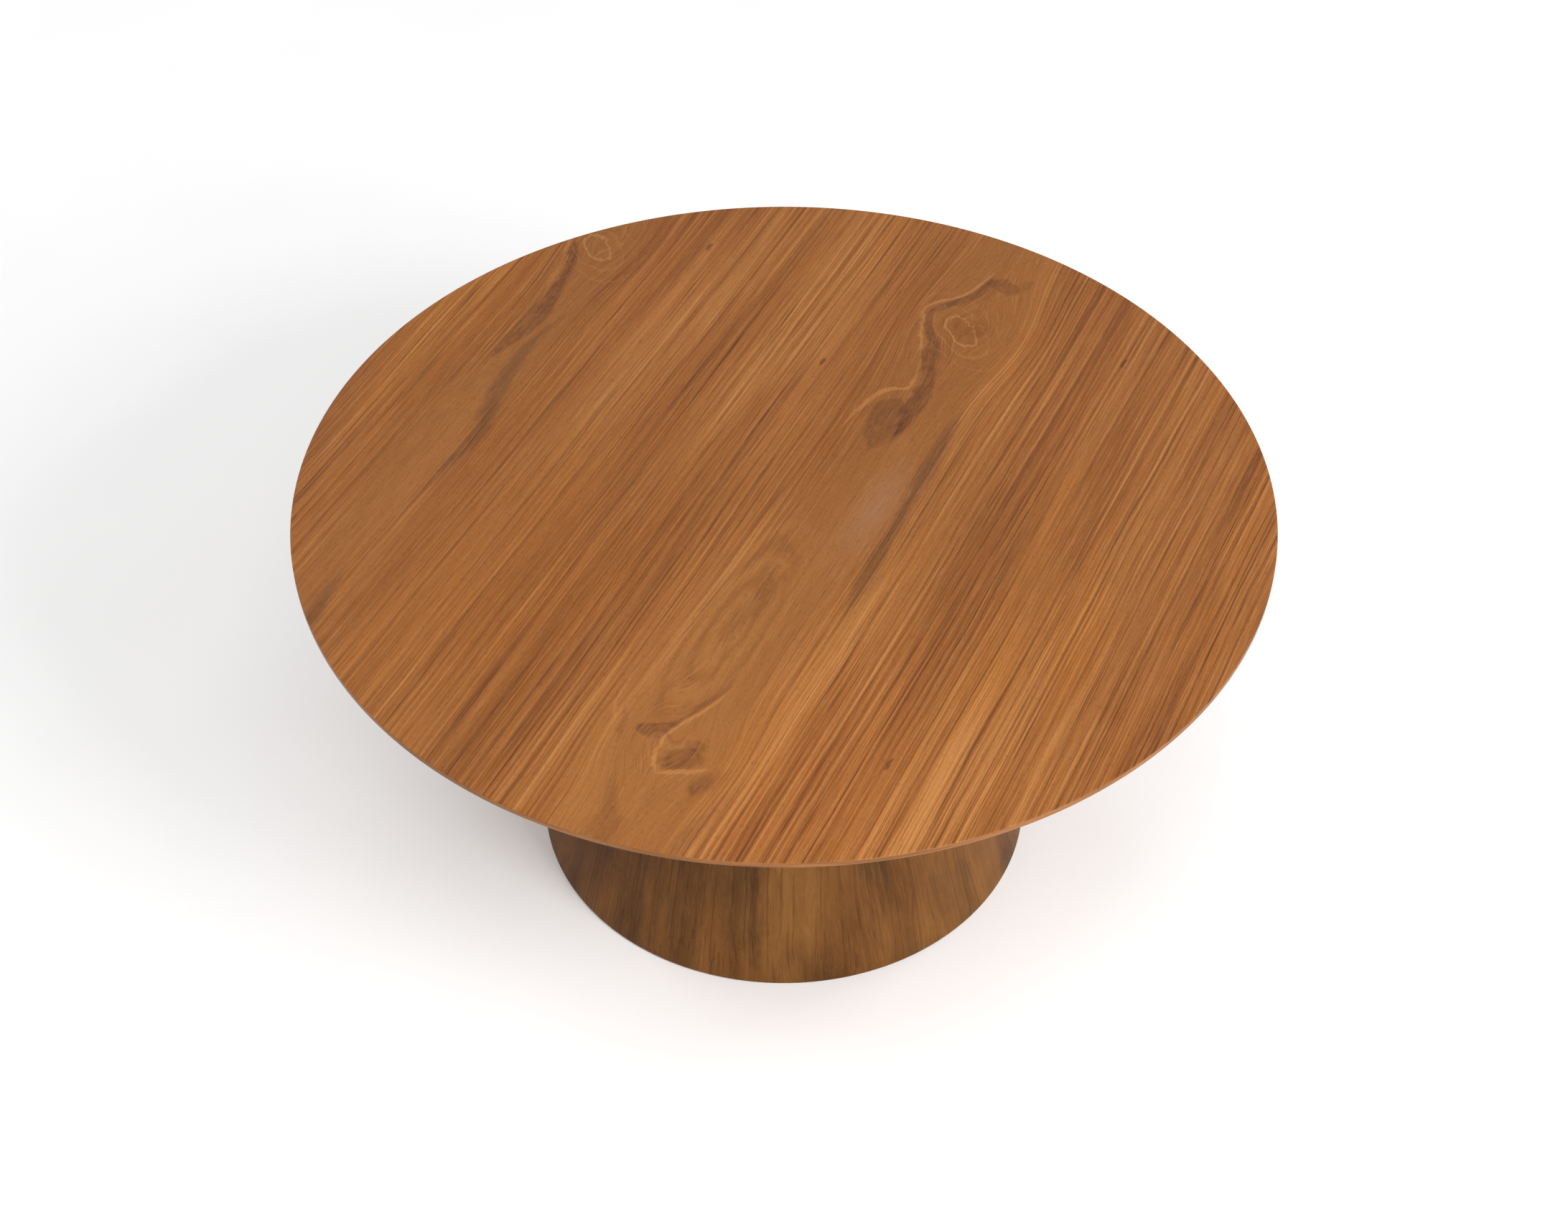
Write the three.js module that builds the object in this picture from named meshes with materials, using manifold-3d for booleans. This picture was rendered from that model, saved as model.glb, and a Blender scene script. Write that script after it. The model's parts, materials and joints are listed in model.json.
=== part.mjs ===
// Tilt top table: a round veneered top that tips on a hollow cone-shaped pedestal.
// Millimetres, +Z up, origin on the floor under the middle of the pedestal.
import * as THREE from 'three';
import { mergeVertices } from 'three/addons/utils/BufferGeometryUtils.js';
import Module from 'manifold-3d';

const wasm = await Module();
wasm.setup();

// Driving dimensions
const GAP = 0.3;
const ROUND_SEGMENTS = 72;
const HARDWARE_SEGMENTS = 20;
const HOLE_SEGMENTS = 16;
const SCREW_HOLE_SEGMENTS = 12;
const OVERCUT = 5;

const TABLE_HEIGHT = 743;
const TOP_RADIUS = 800;
const TOP_THICKNESS = 28;
const FACE_VENEER = 1;
const BACK_VENEER = 0.6;
const EDGE_BAND = 11;
const EDGE_ROUND = 1.5;
const BEVEL_INNER_RADIUS = 700;
const TOP_UNDERSIDE = TABLE_HEIGHT - TOP_THICKNESS;

const FOOT_RADIUS = 437.4;
const CONE_TAPER = 0.28;
const GLIDE_THICKNESS = 2.7;
const GLIDE_RADIUS = 20;
const GLIDE_CIRCLE = 395;
const GLIDE_COUNT = 6;
const CONE_BOTTOM = GLIDE_THICKNESS + GAP;
const CONE_TOP = 590;
const CAP_THICKNESS = 5.7;
const BASE_VENEER = 0.9;
const SHELL_WALL = 12;
const BOARD_THICKNESS = 24;
const BALLAST_RADIUS = 200;
const BALLAST_THICKNESS = 20;
const RIB_COUNT = 4;
const RIB_THICKNESS = 18;
const RIB_CLEARANCE = 5;

const PIVOT_Y = -180;
const PIVOT_Z = 620;
const PIN_RADIUS = 8;
const PIN_CLEARANCE = 0.2;
const TILT_LIMIT = THREE.MathUtils.degToRad(70);

const PLATE_THICKNESS = 6;
const PLATE_TOP = CONE_TOP + GAP + PLATE_THICKNESS;
const LUG_INNER_X = 148;
const LUG_THICKNESS = 8;
const CHEEK_INNER_X = 157.5;
const CHEEK_THICKNESS = 6;
const BEARER_INNER_X = CHEEK_INNER_X + CHEEK_THICKNESS + GAP;
const BEARER_WIDTH = 45;
const BEARER_DEPTH = 45;
const BEARER_HALF_LENGTH = 600;
const BEARER_CHAMFER = 28;
const FRONT_RAIL_Y = [-590, -560];
const FRONT_RAIL_DEPTH = 25;
const REAR_RAIL_Y = [520, 550];

const BLOCK_HALF_WIDTH = 140;
const BLOCK_FRONT = -204;
const BLOCK_REAR = 150;
const BLOCK_TOP = 700;

const CATCH_Z = 684;
const BOLT_RADIUS = 7;
const BOLT_CHAMFER = 2;
const ROD_RADIUS = 4;
const ROD_CLEARANCE = 0.6;
const BOLT_ENGAGEMENT = 11.5;
const COLLAR_RADIUS = 10;
const COLLAR_THICKNESS = 4;
const FRONT_EAR_Y = 160;
const REAR_EAR_Y = 236;
const EAR_THICKNESS = 4;
const ROD_END_Y = 600;

const coneRadius = (z) => FOOT_RADIUS - CONE_TAPER * z;

const object = new THREE.Group();

const MATERIALS = {
  walnut: { color: 0x9c6236, roughness: 0.45, metalness: 0 },
  darkWalnut: { color: 0x7a4c2a, roughness: 0.5, metalness: 0 },
  plywood: { color: 0xc9a878, roughness: 0.7, metalness: 0 },
  beech: { color: 0xc08f5c, roughness: 0.6, metalness: 0 },
  steel: { color: 0x2c2c2e, roughness: 0.5, metalness: 0.6 },
  zinc: { color: 0xa9abad, roughness: 0.35, metalness: 1 },
  brass: { color: 0xb08d4a, roughness: 0.3, metalness: 1 },
  rubber: { color: 0x1b1b1b, roughness: 0.85, metalness: 0 },
  nylon: { color: 0x3a332c, roughness: 0.6, metalness: 0 },
};

function addMesh(name, geometry, finish) {
  const mesh = new THREE.Mesh(geometry, new THREE.MeshStandardMaterial(MATERIALS[finish]));
  mesh.name = name;
  object.add(mesh);
}

// Closed triangle solid with shared vertices and no zero-area triangles.
function toSolid(geometry) {
  const bare = geometry.clone();
  bare.deleteAttribute('normal');
  bare.deleteAttribute('uv');
  const merged = mergeVertices(bare, 1e-4);
  const index = merged.index.array;
  const triangles = [];
  for (let i = 0; i < index.length; i += 3) {
    const [a, b, c] = [index[i], index[i + 1], index[i + 2]];
    if (a !== b && b !== c && c !== a) triangles.push(a, b, c);
  }
  return new wasm.Manifold(new wasm.Mesh({
    numProp: 3,
    vertProperties: new Float32Array(merged.attributes.position.array),
    triVerts: new Uint32Array(triangles),
  }));
}

function fromSolid(solid) {
  const mesh = solid.getMesh();
  const geometry = new THREE.BufferGeometry();
  geometry.setAttribute('position', new THREE.BufferAttribute(mesh.vertProperties, 3));
  geometry.setIndex(new THREE.BufferAttribute(mesh.triVerts, 1));
  return geometry;
}

function cut(geometry, tools) {
  let solid = toSolid(geometry);
  for (const tool of tools) solid = solid.subtract(toSolid(tool));
  return fromSolid(solid);
}

function join(pieces) {
  let solid = toSolid(pieces[0]);
  for (const piece of pieces.slice(1)) solid = solid.add(toSolid(piece));
  return fromSolid(solid);
}

// Solid turned about the Z axis from [radius, height] points, outside wall going up.
function turned(points, segments = ROUND_SEGMENTS) {
  const profile = points.map(([radius, height]) => new THREE.Vector2(radius, height));
  return new THREE.LatheGeometry(profile, segments).rotateX(Math.PI / 2);
}

function disc(bottom, top, bottomRadius, topRadius = bottomRadius, segments = ROUND_SEGMENTS) {
  return turned([[0, bottom], [bottomRadius, bottom], [topRadius, top], [0, top]], segments);
}

function box(xRange, yRange, zRange) {
  const size = [xRange, yRange, zRange].map(([low, high]) => high - low);
  const middle = [xRange, yRange, zRange].map(([low, high]) => (low + high) / 2);
  return new THREE.BoxGeometry(...size).translate(...middle);
}

// Turns a piece made along +Z so that it points along a direction, then moves it to a start point.
function aim(geometry, start, direction) {
  const up = new THREE.Vector3(0, 0, 1);
  const turn = new THREE.Quaternion().setFromUnitVectors(up, direction.clone().normalize());
  return geometry.applyQuaternion(turn).translate(start.x, start.y, start.z);
}

// Round rod or hole between two points.
function rod(start, end, radius, segments = HARDWARE_SEGMENTS) {
  const direction = end.clone().sub(start);
  return aim(disc(0, direction.length(), radius, radius, segments), start, direction);
}

// Plate drawn in the Y-Z plane, with its thickness along X.
function sidePlate(shape, xLow, thickness) {
  const geometry = new THREE.ExtrudeGeometry(shape, {
    depth: thickness, bevelEnabled: false, curveSegments: HARDWARE_SEGMENTS,
  });
  const basis = new THREE.Matrix4().makeBasis(
    new THREE.Vector3(0, 1, 0), new THREE.Vector3(0, 0, 1), new THREE.Vector3(1, 0, 0));
  return geometry.applyMatrix4(basis).translate(xLow, 0, 0);
}

// Round-headed screw or bolt: its tip at the start, its head at the far end.
function headedScrew(start, direction, length, shankRadius, head) {
  const profile = [
    [0, 0], [shankRadius, 0], [shankRadius, length], [head.radius, length],
    [head.radius, length + head.height], [0, length + head.height],
  ];
  return aim(turned(profile, HARDWARE_SEGMENTS), start, direction);
}

const point = (x, y, z) => new THREE.Vector3(x, y, z);
const DOWN = point(0, 0, -1);
const REARWARD = point(0, 1, 0);
const SIDES = [['left', -1], ['right', 1]];

// Puts a right-hand piece, given by its inner and outer X, on the chosen side.
const xRangeOn = (side, inner, outer) => (side > 0 ? [inner, outer] : [-outer, -inner]);

// Screws that run up through the bearers into the top
const BEARER_SCREW_YS = [-450, 60, 450];
const BEARER_SCREW_RADIUS = 2.5;
const BEARER_SCREW_HEAD = { radius: 6, height: 4 };
const COUNTERBORE_RADIUS = 8;
const COUNTERBORE_DEPTH = 8;
const SCREW_TIP_Z = TOP_UNDERSIDE + 17;
const BEARER_X = BEARER_INNER_X + BEARER_WIDTH / 2;
const BEARER_BOTTOM = TOP_UNDERSIDE - BEARER_DEPTH;

const bearerScrewSpots = [];
for (const [label, side] of SIDES) {
  BEARER_SCREW_YS.forEach((y, i) => {
    bearerScrewSpots.push({ name: `bearer_screw_${label}_${i}`, side, x: side * BEARER_X, y });
  });
}

// Screws that hold the catch bracket to the top
const BRACKET_SCREW_X = 30;
const BRACKET_SCREW_Y = (FRONT_EAR_Y + REAR_EAR_Y + EAR_THICKNESS) / 2;
const BRACKET_SCREW_RADIUS = 2;
const BRACKET_SCREW_HEAD = { radius: 4.5, height: 2.4 };
const BRACKET_THICKNESS = 3;
const BRACKET_HALF_WIDTH = 40;
const EAR_HALF_WIDTH = 14;
const EAR_DROP = 13;

function screwHolesInTop() {
  const holes = bearerScrewSpots.map(({ x, y }) => rod(
    point(x, y, TOP_UNDERSIDE - OVERCUT), point(x, y, SCREW_TIP_Z + 1),
    BEARER_SCREW_RADIUS + GAP, SCREW_HOLE_SEGMENTS));
  for (const side of [-1, 1]) {
    const x = side * BRACKET_SCREW_X;
    holes.push(rod(point(x, BRACKET_SCREW_Y, TOP_UNDERSIDE - OVERCUT),
      point(x, BRACKET_SCREW_Y, SCREW_TIP_Z + 1), BRACKET_SCREW_RADIUS + GAP, SCREW_HOLE_SEGMENTS));
  }
  return holes;
}

// Table top: face veneer, plywood core, backing veneer and a bevelled solid edge
function addTop() {
  const coreTop = TABLE_HEIGHT - FACE_VENEER - GAP;
  const coreBottom = TOP_UNDERSIDE + BACK_VENEER + GAP;
  const coreRadius = BEVEL_INNER_RADIUS - GAP;
  addMesh('top_veneer', disc(TABLE_HEIGHT - FACE_VENEER, TABLE_HEIGHT, TOP_RADIUS), 'walnut');
  addMesh('top_core', cut(disc(coreBottom, coreTop, coreRadius), screwHolesInTop()), 'plywood');
  addMesh('backing_veneer',
    cut(disc(TOP_UNDERSIDE, TOP_UNDERSIDE + BACK_VENEER, coreRadius), screwHolesInTop()), 'walnut');
  const bandBottom = TABLE_HEIGHT - EDGE_BAND;
  addMesh('edge_lipping', turned([
    [BEVEL_INNER_RADIUS, TOP_UNDERSIDE], [TOP_RADIUS - EDGE_ROUND, bandBottom],
    [TOP_RADIUS, bandBottom + EDGE_ROUND], [TOP_RADIUS, coreTop],
    [BEVEL_INNER_RADIUS, coreTop], [BEVEL_INNER_RADIUS, TOP_UNDERSIDE],
  ]), 'walnut');
}

// Steel cheeks that carry the bearers on the pivot pins
const CHEEK_EYE_RADIUS = 20;
const CHEEK_FRONT = -40;
const CHEEK_REAR = 60;
const CHEEK_TOP_CLEARANCE = 2;
const CHEEK_BOLT_OFFSETS = [[-20, 70], [40, 70]];
const CHEEK_BOLT_RADIUS = 4;
const CHEEK_BOLT_HEAD = { radius: 7.5, height: 4.5 };
const CHEEK_BOLT_LENGTH = 36;

function addCheeks() {
  for (const [label, side] of SIDES) {
    const shape = new THREE.Shape();
    const shoulder = BEARER_BOTTOM - PIVOT_Z;
    const cheekTop = TOP_UNDERSIDE - GAP - PIVOT_Z - CHEEK_TOP_CLEARANCE;
    shape.moveTo(CHEEK_FRONT, shoulder);
    shape.absarc(0, 0, CHEEK_EYE_RADIUS, Math.PI * 0.95, Math.PI * 2.1, false);
    shape.lineTo(CHEEK_REAR, shoulder);
    shape.lineTo(CHEEK_REAR, cheekTop);
    shape.lineTo(CHEEK_FRONT, cheekTop);
    shape.closePath();
    const eye = new THREE.Path().absarc(0, 0, PIN_RADIUS + PIN_CLEARANCE, 0, Math.PI * 2, true);
    shape.holes.push(eye);
    for (const [y, z] of CHEEK_BOLT_OFFSETS) {
      shape.holes.push(new THREE.Path().absarc(y, z, CHEEK_BOLT_RADIUS + GAP, 0, Math.PI * 2, true));
    }
    const [xLow] = xRangeOn(side, CHEEK_INNER_X, CHEEK_INNER_X + CHEEK_THICKNESS);
    const plate = sidePlate(shape, xLow, CHEEK_THICKNESS).translate(0, PIVOT_Y, PIVOT_Z);
    addMesh(`cheek_plate_${label}`, plate, 'steel');
    CHEEK_BOLT_OFFSETS.forEach(([y, z], i) => {
      const headX = CHEEK_INNER_X - GAP;
      const tip = point(side * (headX + CHEEK_BOLT_LENGTH), PIVOT_Y + y, PIVOT_Z + z);
      const bolt = headedScrew(
        tip, point(-side, 0, 0), CHEEK_BOLT_LENGTH, CHEEK_BOLT_RADIUS, CHEEK_BOLT_HEAD);
      addMesh(`cheek_bolt_${label}_${i}`, bolt, 'zinc');
    });
  }
}

// Hardwood bearers and rails under the top
function addBearers() {
  for (const [label, side] of SIDES) {
    const high = TOP_UNDERSIDE - GAP;
    const end = BEARER_HALF_LENGTH;
    const shape = new THREE.Shape([
      new THREE.Vector2(-end, high),
      new THREE.Vector2(-end, high - BEARER_DEPTH + BEARER_CHAMFER),
      new THREE.Vector2(-end + BEARER_CHAMFER, high - BEARER_DEPTH),
      new THREE.Vector2(end - BEARER_CHAMFER, high - BEARER_DEPTH),
      new THREE.Vector2(end, high - BEARER_DEPTH + BEARER_CHAMFER),
      new THREE.Vector2(end, high),
    ]);
    const [xLow] = xRangeOn(side, BEARER_INNER_X, BEARER_INNER_X + BEARER_WIDTH);
    const holes = bearerScrewSpots.filter((spot) => spot.side === side).flatMap(({ x, y }) => [
      rod(point(x, y, high - BEARER_DEPTH - OVERCUT), point(x, y, high + OVERCUT),
        BEARER_SCREW_RADIUS + GAP, SCREW_HOLE_SEGMENTS),
      rod(point(x, y, high - BEARER_DEPTH - OVERCUT),
        point(x, y, high - BEARER_DEPTH + COUNTERBORE_DEPTH), COUNTERBORE_RADIUS, HOLE_SEGMENTS),
    ]);
    for (const [y, z] of CHEEK_BOLT_OFFSETS) {
      const x = side * (CHEEK_INNER_X + CHEEK_BOLT_LENGTH + 1);
      holes.push(rod(point(side * (BEARER_INNER_X - OVERCUT), PIVOT_Y + y, PIVOT_Z + z),
        point(x, PIVOT_Y + y, PIVOT_Z + z), CHEEK_BOLT_RADIUS + GAP, HOLE_SEGMENTS));
    }
    addMesh(`bearer_${label}`, cut(sidePlate(shape, xLow, BEARER_WIDTH), holes), 'beech');
  }
  const railX = BEARER_INNER_X - GAP;
  const railTop = TOP_UNDERSIDE - GAP;
  const rodHole = rod(point(0, REAR_RAIL_Y[0] - OVERCUT, CATCH_Z),
    point(0, REAR_RAIL_Y[1] + OVERCUT, CATCH_Z), ROD_RADIUS + ROD_CLEARANCE);
  const rearRail = box([-railX, railX], REAR_RAIL_Y, [BEARER_BOTTOM, railTop]);
  addMesh('rear_rail', cut(rearRail, [rodHole]), 'beech');
  const frontRailBottom = TOP_UNDERSIDE - FRONT_RAIL_DEPTH;
  addMesh('front_rail', box([-railX, railX], FRONT_RAIL_Y, [frontRailBottom, railTop]), 'beech');
  for (const { name, x, y } of bearerScrewSpots) {
    const headZ = BEARER_BOTTOM - GAP + COUNTERBORE_DEPTH - GAP;
    const screw = headedScrew(point(x, y, SCREW_TIP_Z), DOWN, SCREW_TIP_Z - headZ,
      BEARER_SCREW_RADIUS, BEARER_SCREW_HEAD);
    addMesh(name, screw, 'zinc');
  }
}

// Sprung catch under the top: a bolt that enters the block, pulled back by a long rod
const SPRING_TURNS = 6;
const SPRING_RADIUS = 7;
const SPRING_WIRE_RADIUS = 1;
const SPRING_STEPS_PER_TURN = 12;
const KNOB_PROFILE = [[0, 0], [7, 0], [8, 8], [15, 16], [15, 28], [11, 32], [0, 32]];

class Helix extends THREE.Curve {
  constructor(radius, length, turns) {
    super();
    this.radius = radius;
    this.length = length;
    this.turns = turns;
  }

  getPoint(t, target = new THREE.Vector3()) {
    const angle = t * this.turns * Math.PI * 2;
    const y = t * this.length;
    return target.set(this.radius * Math.cos(angle), y, this.radius * Math.sin(angle));
  }
}

function addCatch() {
  const bracketTop = TOP_UNDERSIDE - GAP;
  const earX = [-EAR_HALF_WIDTH, EAR_HALF_WIDTH];
  const earZ = [CATCH_Z - EAR_DROP, bracketTop - 1];
  const bracket = join([
    box([-BRACKET_HALF_WIDTH, BRACKET_HALF_WIDTH], [FRONT_EAR_Y, REAR_EAR_Y + EAR_THICKNESS],
      [bracketTop - BRACKET_THICKNESS, bracketTop]),
    box(earX, [FRONT_EAR_Y, FRONT_EAR_Y + EAR_THICKNESS], earZ),
    box(earX, [REAR_EAR_Y, REAR_EAR_Y + EAR_THICKNESS], earZ),
  ]);
  const holes = [
    rod(point(0, FRONT_EAR_Y - OVERCUT, CATCH_Z),
      point(0, FRONT_EAR_Y + EAR_THICKNESS + OVERCUT, CATCH_Z), BOLT_RADIUS + GAP),
    rod(point(0, REAR_EAR_Y - OVERCUT, CATCH_Z),
      point(0, REAR_EAR_Y + EAR_THICKNESS + OVERCUT, CATCH_Z), ROD_RADIUS + GAP),
  ];
  for (const x of [-BRACKET_SCREW_X, BRACKET_SCREW_X]) {
    holes.push(rod(point(x, BRACKET_SCREW_Y, bracketTop - BRACKET_THICKNESS - OVERCUT),
      point(x, BRACKET_SCREW_Y, bracketTop + OVERCUT),
      BRACKET_SCREW_RADIUS + GAP, SCREW_HOLE_SEGMENTS));
  }
  addMesh('catch_bracket', cut(bracket, holes), 'brass');
  for (const [label, side] of SIDES) {
    const tip = point(side * BRACKET_SCREW_X, BRACKET_SCREW_Y, SCREW_TIP_Z);
    const length = SCREW_TIP_Z - (bracketTop - BRACKET_THICKNESS - GAP);
    const screw = headedScrew(tip, DOWN, length, BRACKET_SCREW_RADIUS, BRACKET_SCREW_HEAD);
    addMesh(`bracket_screw_${label}`, screw, 'brass');
  }

  const noseTip = BLOCK_REAR - BOLT_ENGAGEMENT;
  const collarStart = FRONT_EAR_Y + EAR_THICKNESS + GAP;
  const collarEnd = collarStart + COLLAR_THICKNESS;
  const profile = [
    [0, 0], [BOLT_RADIUS - BOLT_CHAMFER, 0], [BOLT_RADIUS, BOLT_CHAMFER],
    [BOLT_RADIUS, collarStart - noseTip],
    [COLLAR_RADIUS, collarStart - noseTip], [COLLAR_RADIUS, collarEnd - noseTip],
    [ROD_RADIUS, collarEnd - noseTip], [ROD_RADIUS, ROD_END_Y - noseTip], [0, ROD_END_Y - noseTip],
  ];
  const bolt = aim(turned(profile, HARDWARE_SEGMENTS), point(0, noseTip, CATCH_Z), REARWARD);
  addMesh('catch_bolt', bolt, 'zinc');

  const coilStart = collarEnd + GAP + SPRING_WIRE_RADIUS;
  const coilLength = REAR_EAR_Y - GAP - SPRING_WIRE_RADIUS - coilStart;
  const wire = new THREE.Shape().absarc(0, 0, SPRING_WIRE_RADIUS, 0, Math.PI * 2);
  const spring = new THREE.ExtrudeGeometry(wire, {
    steps: SPRING_TURNS * SPRING_STEPS_PER_TURN,
    curveSegments: 3,
    extrudePath: new Helix(SPRING_RADIUS, coilLength, SPRING_TURNS),
  });
  addMesh('catch_spring', spring.translate(0, coilStart, CATCH_Z), 'zinc');

  const knobStart = ROD_END_Y + GAP;
  const knob = turned(KNOB_PROFILE, HARDWARE_SEGMENTS);
  addMesh('pull_knob', aim(knob, point(0, knobStart, CATCH_Z), REARWARD), 'darkWalnut');
}

// Mounting plate, pivot lugs and pins on the cap
const PLATE_BOLT_SPOTS = [[-175, -90], [175, -90], [175, 130], [-175, 130]];
const PLATE_BOLT_RADIUS = 5;
const PLATE_BOLT_HEAD = { radius: 9, height: 6 };
const PLATE_BOLT_GRIP = 20;
const PLATE_BOLT_TIP = CONE_TOP - CAP_THICKNESS - PLATE_BOLT_GRIP;
const PLATE_RIGHT_EDGE = [
  [60, -262], [60, -215], [156, -215], [156, -125], [195, -125], [195, 170],
];
const LUG_RADIUS = 22;
const PIN_HEAD = { radius: 13, height: 8 };
const PIN_HEAD_CLEARANCE = 0.5;
const NUT_RADIUS = 13;
const NUT_CLEARANCE = 0.5;

function plateBoltHoles() {
  return PLATE_BOLT_SPOTS.map(([x, y]) => rod(
    point(x, y, PLATE_BOLT_TIP - 1), point(x, y, PLATE_TOP + OVERCUT),
    PLATE_BOLT_RADIUS + GAP, HOLE_SEGMENTS));
}

function addPivot() {
  const leftEdge = PLATE_RIGHT_EDGE.map(([x, y]) => [-x, y]).reverse();
  const corners = [...PLATE_RIGHT_EDGE, ...leftEdge].map(([x, y]) => new THREE.Vector2(x, y));
  const outline = new THREE.Shape(corners);
  const plate = new THREE.ExtrudeGeometry(outline, { depth: PLATE_THICKNESS, bevelEnabled: false });
  plate.translate(0, 0, CONE_TOP + GAP);
  addMesh('mounting_plate', cut(plate, plateBoltHoles()), 'steel');
  PLATE_BOLT_SPOTS.forEach(([x, y], i) => {
    const length = PLATE_TOP + GAP - PLATE_BOLT_TIP;
    const tip = point(x, y, PLATE_BOLT_TIP);
    const bolt = headedScrew(tip, point(0, 0, 1), length, PLATE_BOLT_RADIUS, PLATE_BOLT_HEAD);
    addMesh(`plate_bolt_${i}`, bolt, 'zinc');
  });

  for (const [label, side] of SIDES) {
    const shape = new THREE.Shape();
    shape.moveTo(-LUG_RADIUS, PLATE_TOP + GAP - PIVOT_Z);
    shape.lineTo(LUG_RADIUS, PLATE_TOP + GAP - PIVOT_Z);
    shape.absarc(0, 0, LUG_RADIUS, 0, Math.PI, false);
    shape.closePath();
    const eye = new THREE.Path().absarc(0, 0, PIN_RADIUS + PIN_CLEARANCE, 0, Math.PI * 2, true);
    shape.holes.push(eye);
    const [lugX] = xRangeOn(side, LUG_INNER_X, LUG_INNER_X + LUG_THICKNESS);
    const lug = sidePlate(shape, lugX, LUG_THICKNESS).translate(0, PIVOT_Y, PIVOT_Z);
    addMesh(`pivot_lug_${label}`, lug, 'steel');

    const headX = CHEEK_INNER_X + CHEEK_THICKNESS + PIN_HEAD_CLEARANCE;
    const pinTip = point(side * (BLOCK_HALF_WIDTH + 1), PIVOT_Y, PIVOT_Z);
    const pinLength = headX - BLOCK_HALF_WIDTH - 1;
    const pin = headedScrew(pinTip, point(side, 0, 0), pinLength, PIN_RADIUS, PIN_HEAD);
    addMesh(`pivot_pin_${label}`, pin, 'zinc');

    const nutShape = new THREE.Shape();
    for (let corner = 0; corner < 6; corner += 1) {
      const angle = corner * Math.PI / 3;
      const [y, z] = [NUT_RADIUS * Math.cos(angle), NUT_RADIUS * Math.sin(angle)];
      if (corner === 0) nutShape.moveTo(y, z);
      else nutShape.lineTo(y, z);
    }
    nutShape.closePath();
    nutShape.holes.push(eye);
    const [nutInner, nutOuter] = [BLOCK_HALF_WIDTH + NUT_CLEARANCE, LUG_INNER_X - GAP];
    const [nutX] = xRangeOn(side, nutInner, nutOuter);
    const nut = sidePlate(nutShape, nutX, nutOuter - nutInner);
    addMesh(`pivot_nut_${label}`, nut.translate(0, PIVOT_Y, PIVOT_Z), 'zinc');
  }
}

// Block that the level top rests on, and the stop block for the tipped top
const UNDERSIDE_OFFSET = TOP_UNDERSIDE - PIVOT_Z;
const STOP_FACE_OFFSET = 68;
const STOP_BLOCK_HALF_WIDTH = 60;
const STOP_RADIUS = 17;
const STOP_X = 36;
const STOP_DROP = 7;
const STOP_CLEARANCE = 0.6;
const REST_RADIUS = 18;
const REST_X = 105;
const REST_Y = 118;
const BUFFER_TAPER = 2;
const STRIKE_HALF_WIDTH = 30;
const STRIKE_DROP = 17;
const STRIKE_THICKNESS = 2.5;
const STRIKE_CLEARANCE = 0.8;
const BOLT_HOLE_CLEARANCE = 1;
const BOLT_HOLE_SPARE = 3;

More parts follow.
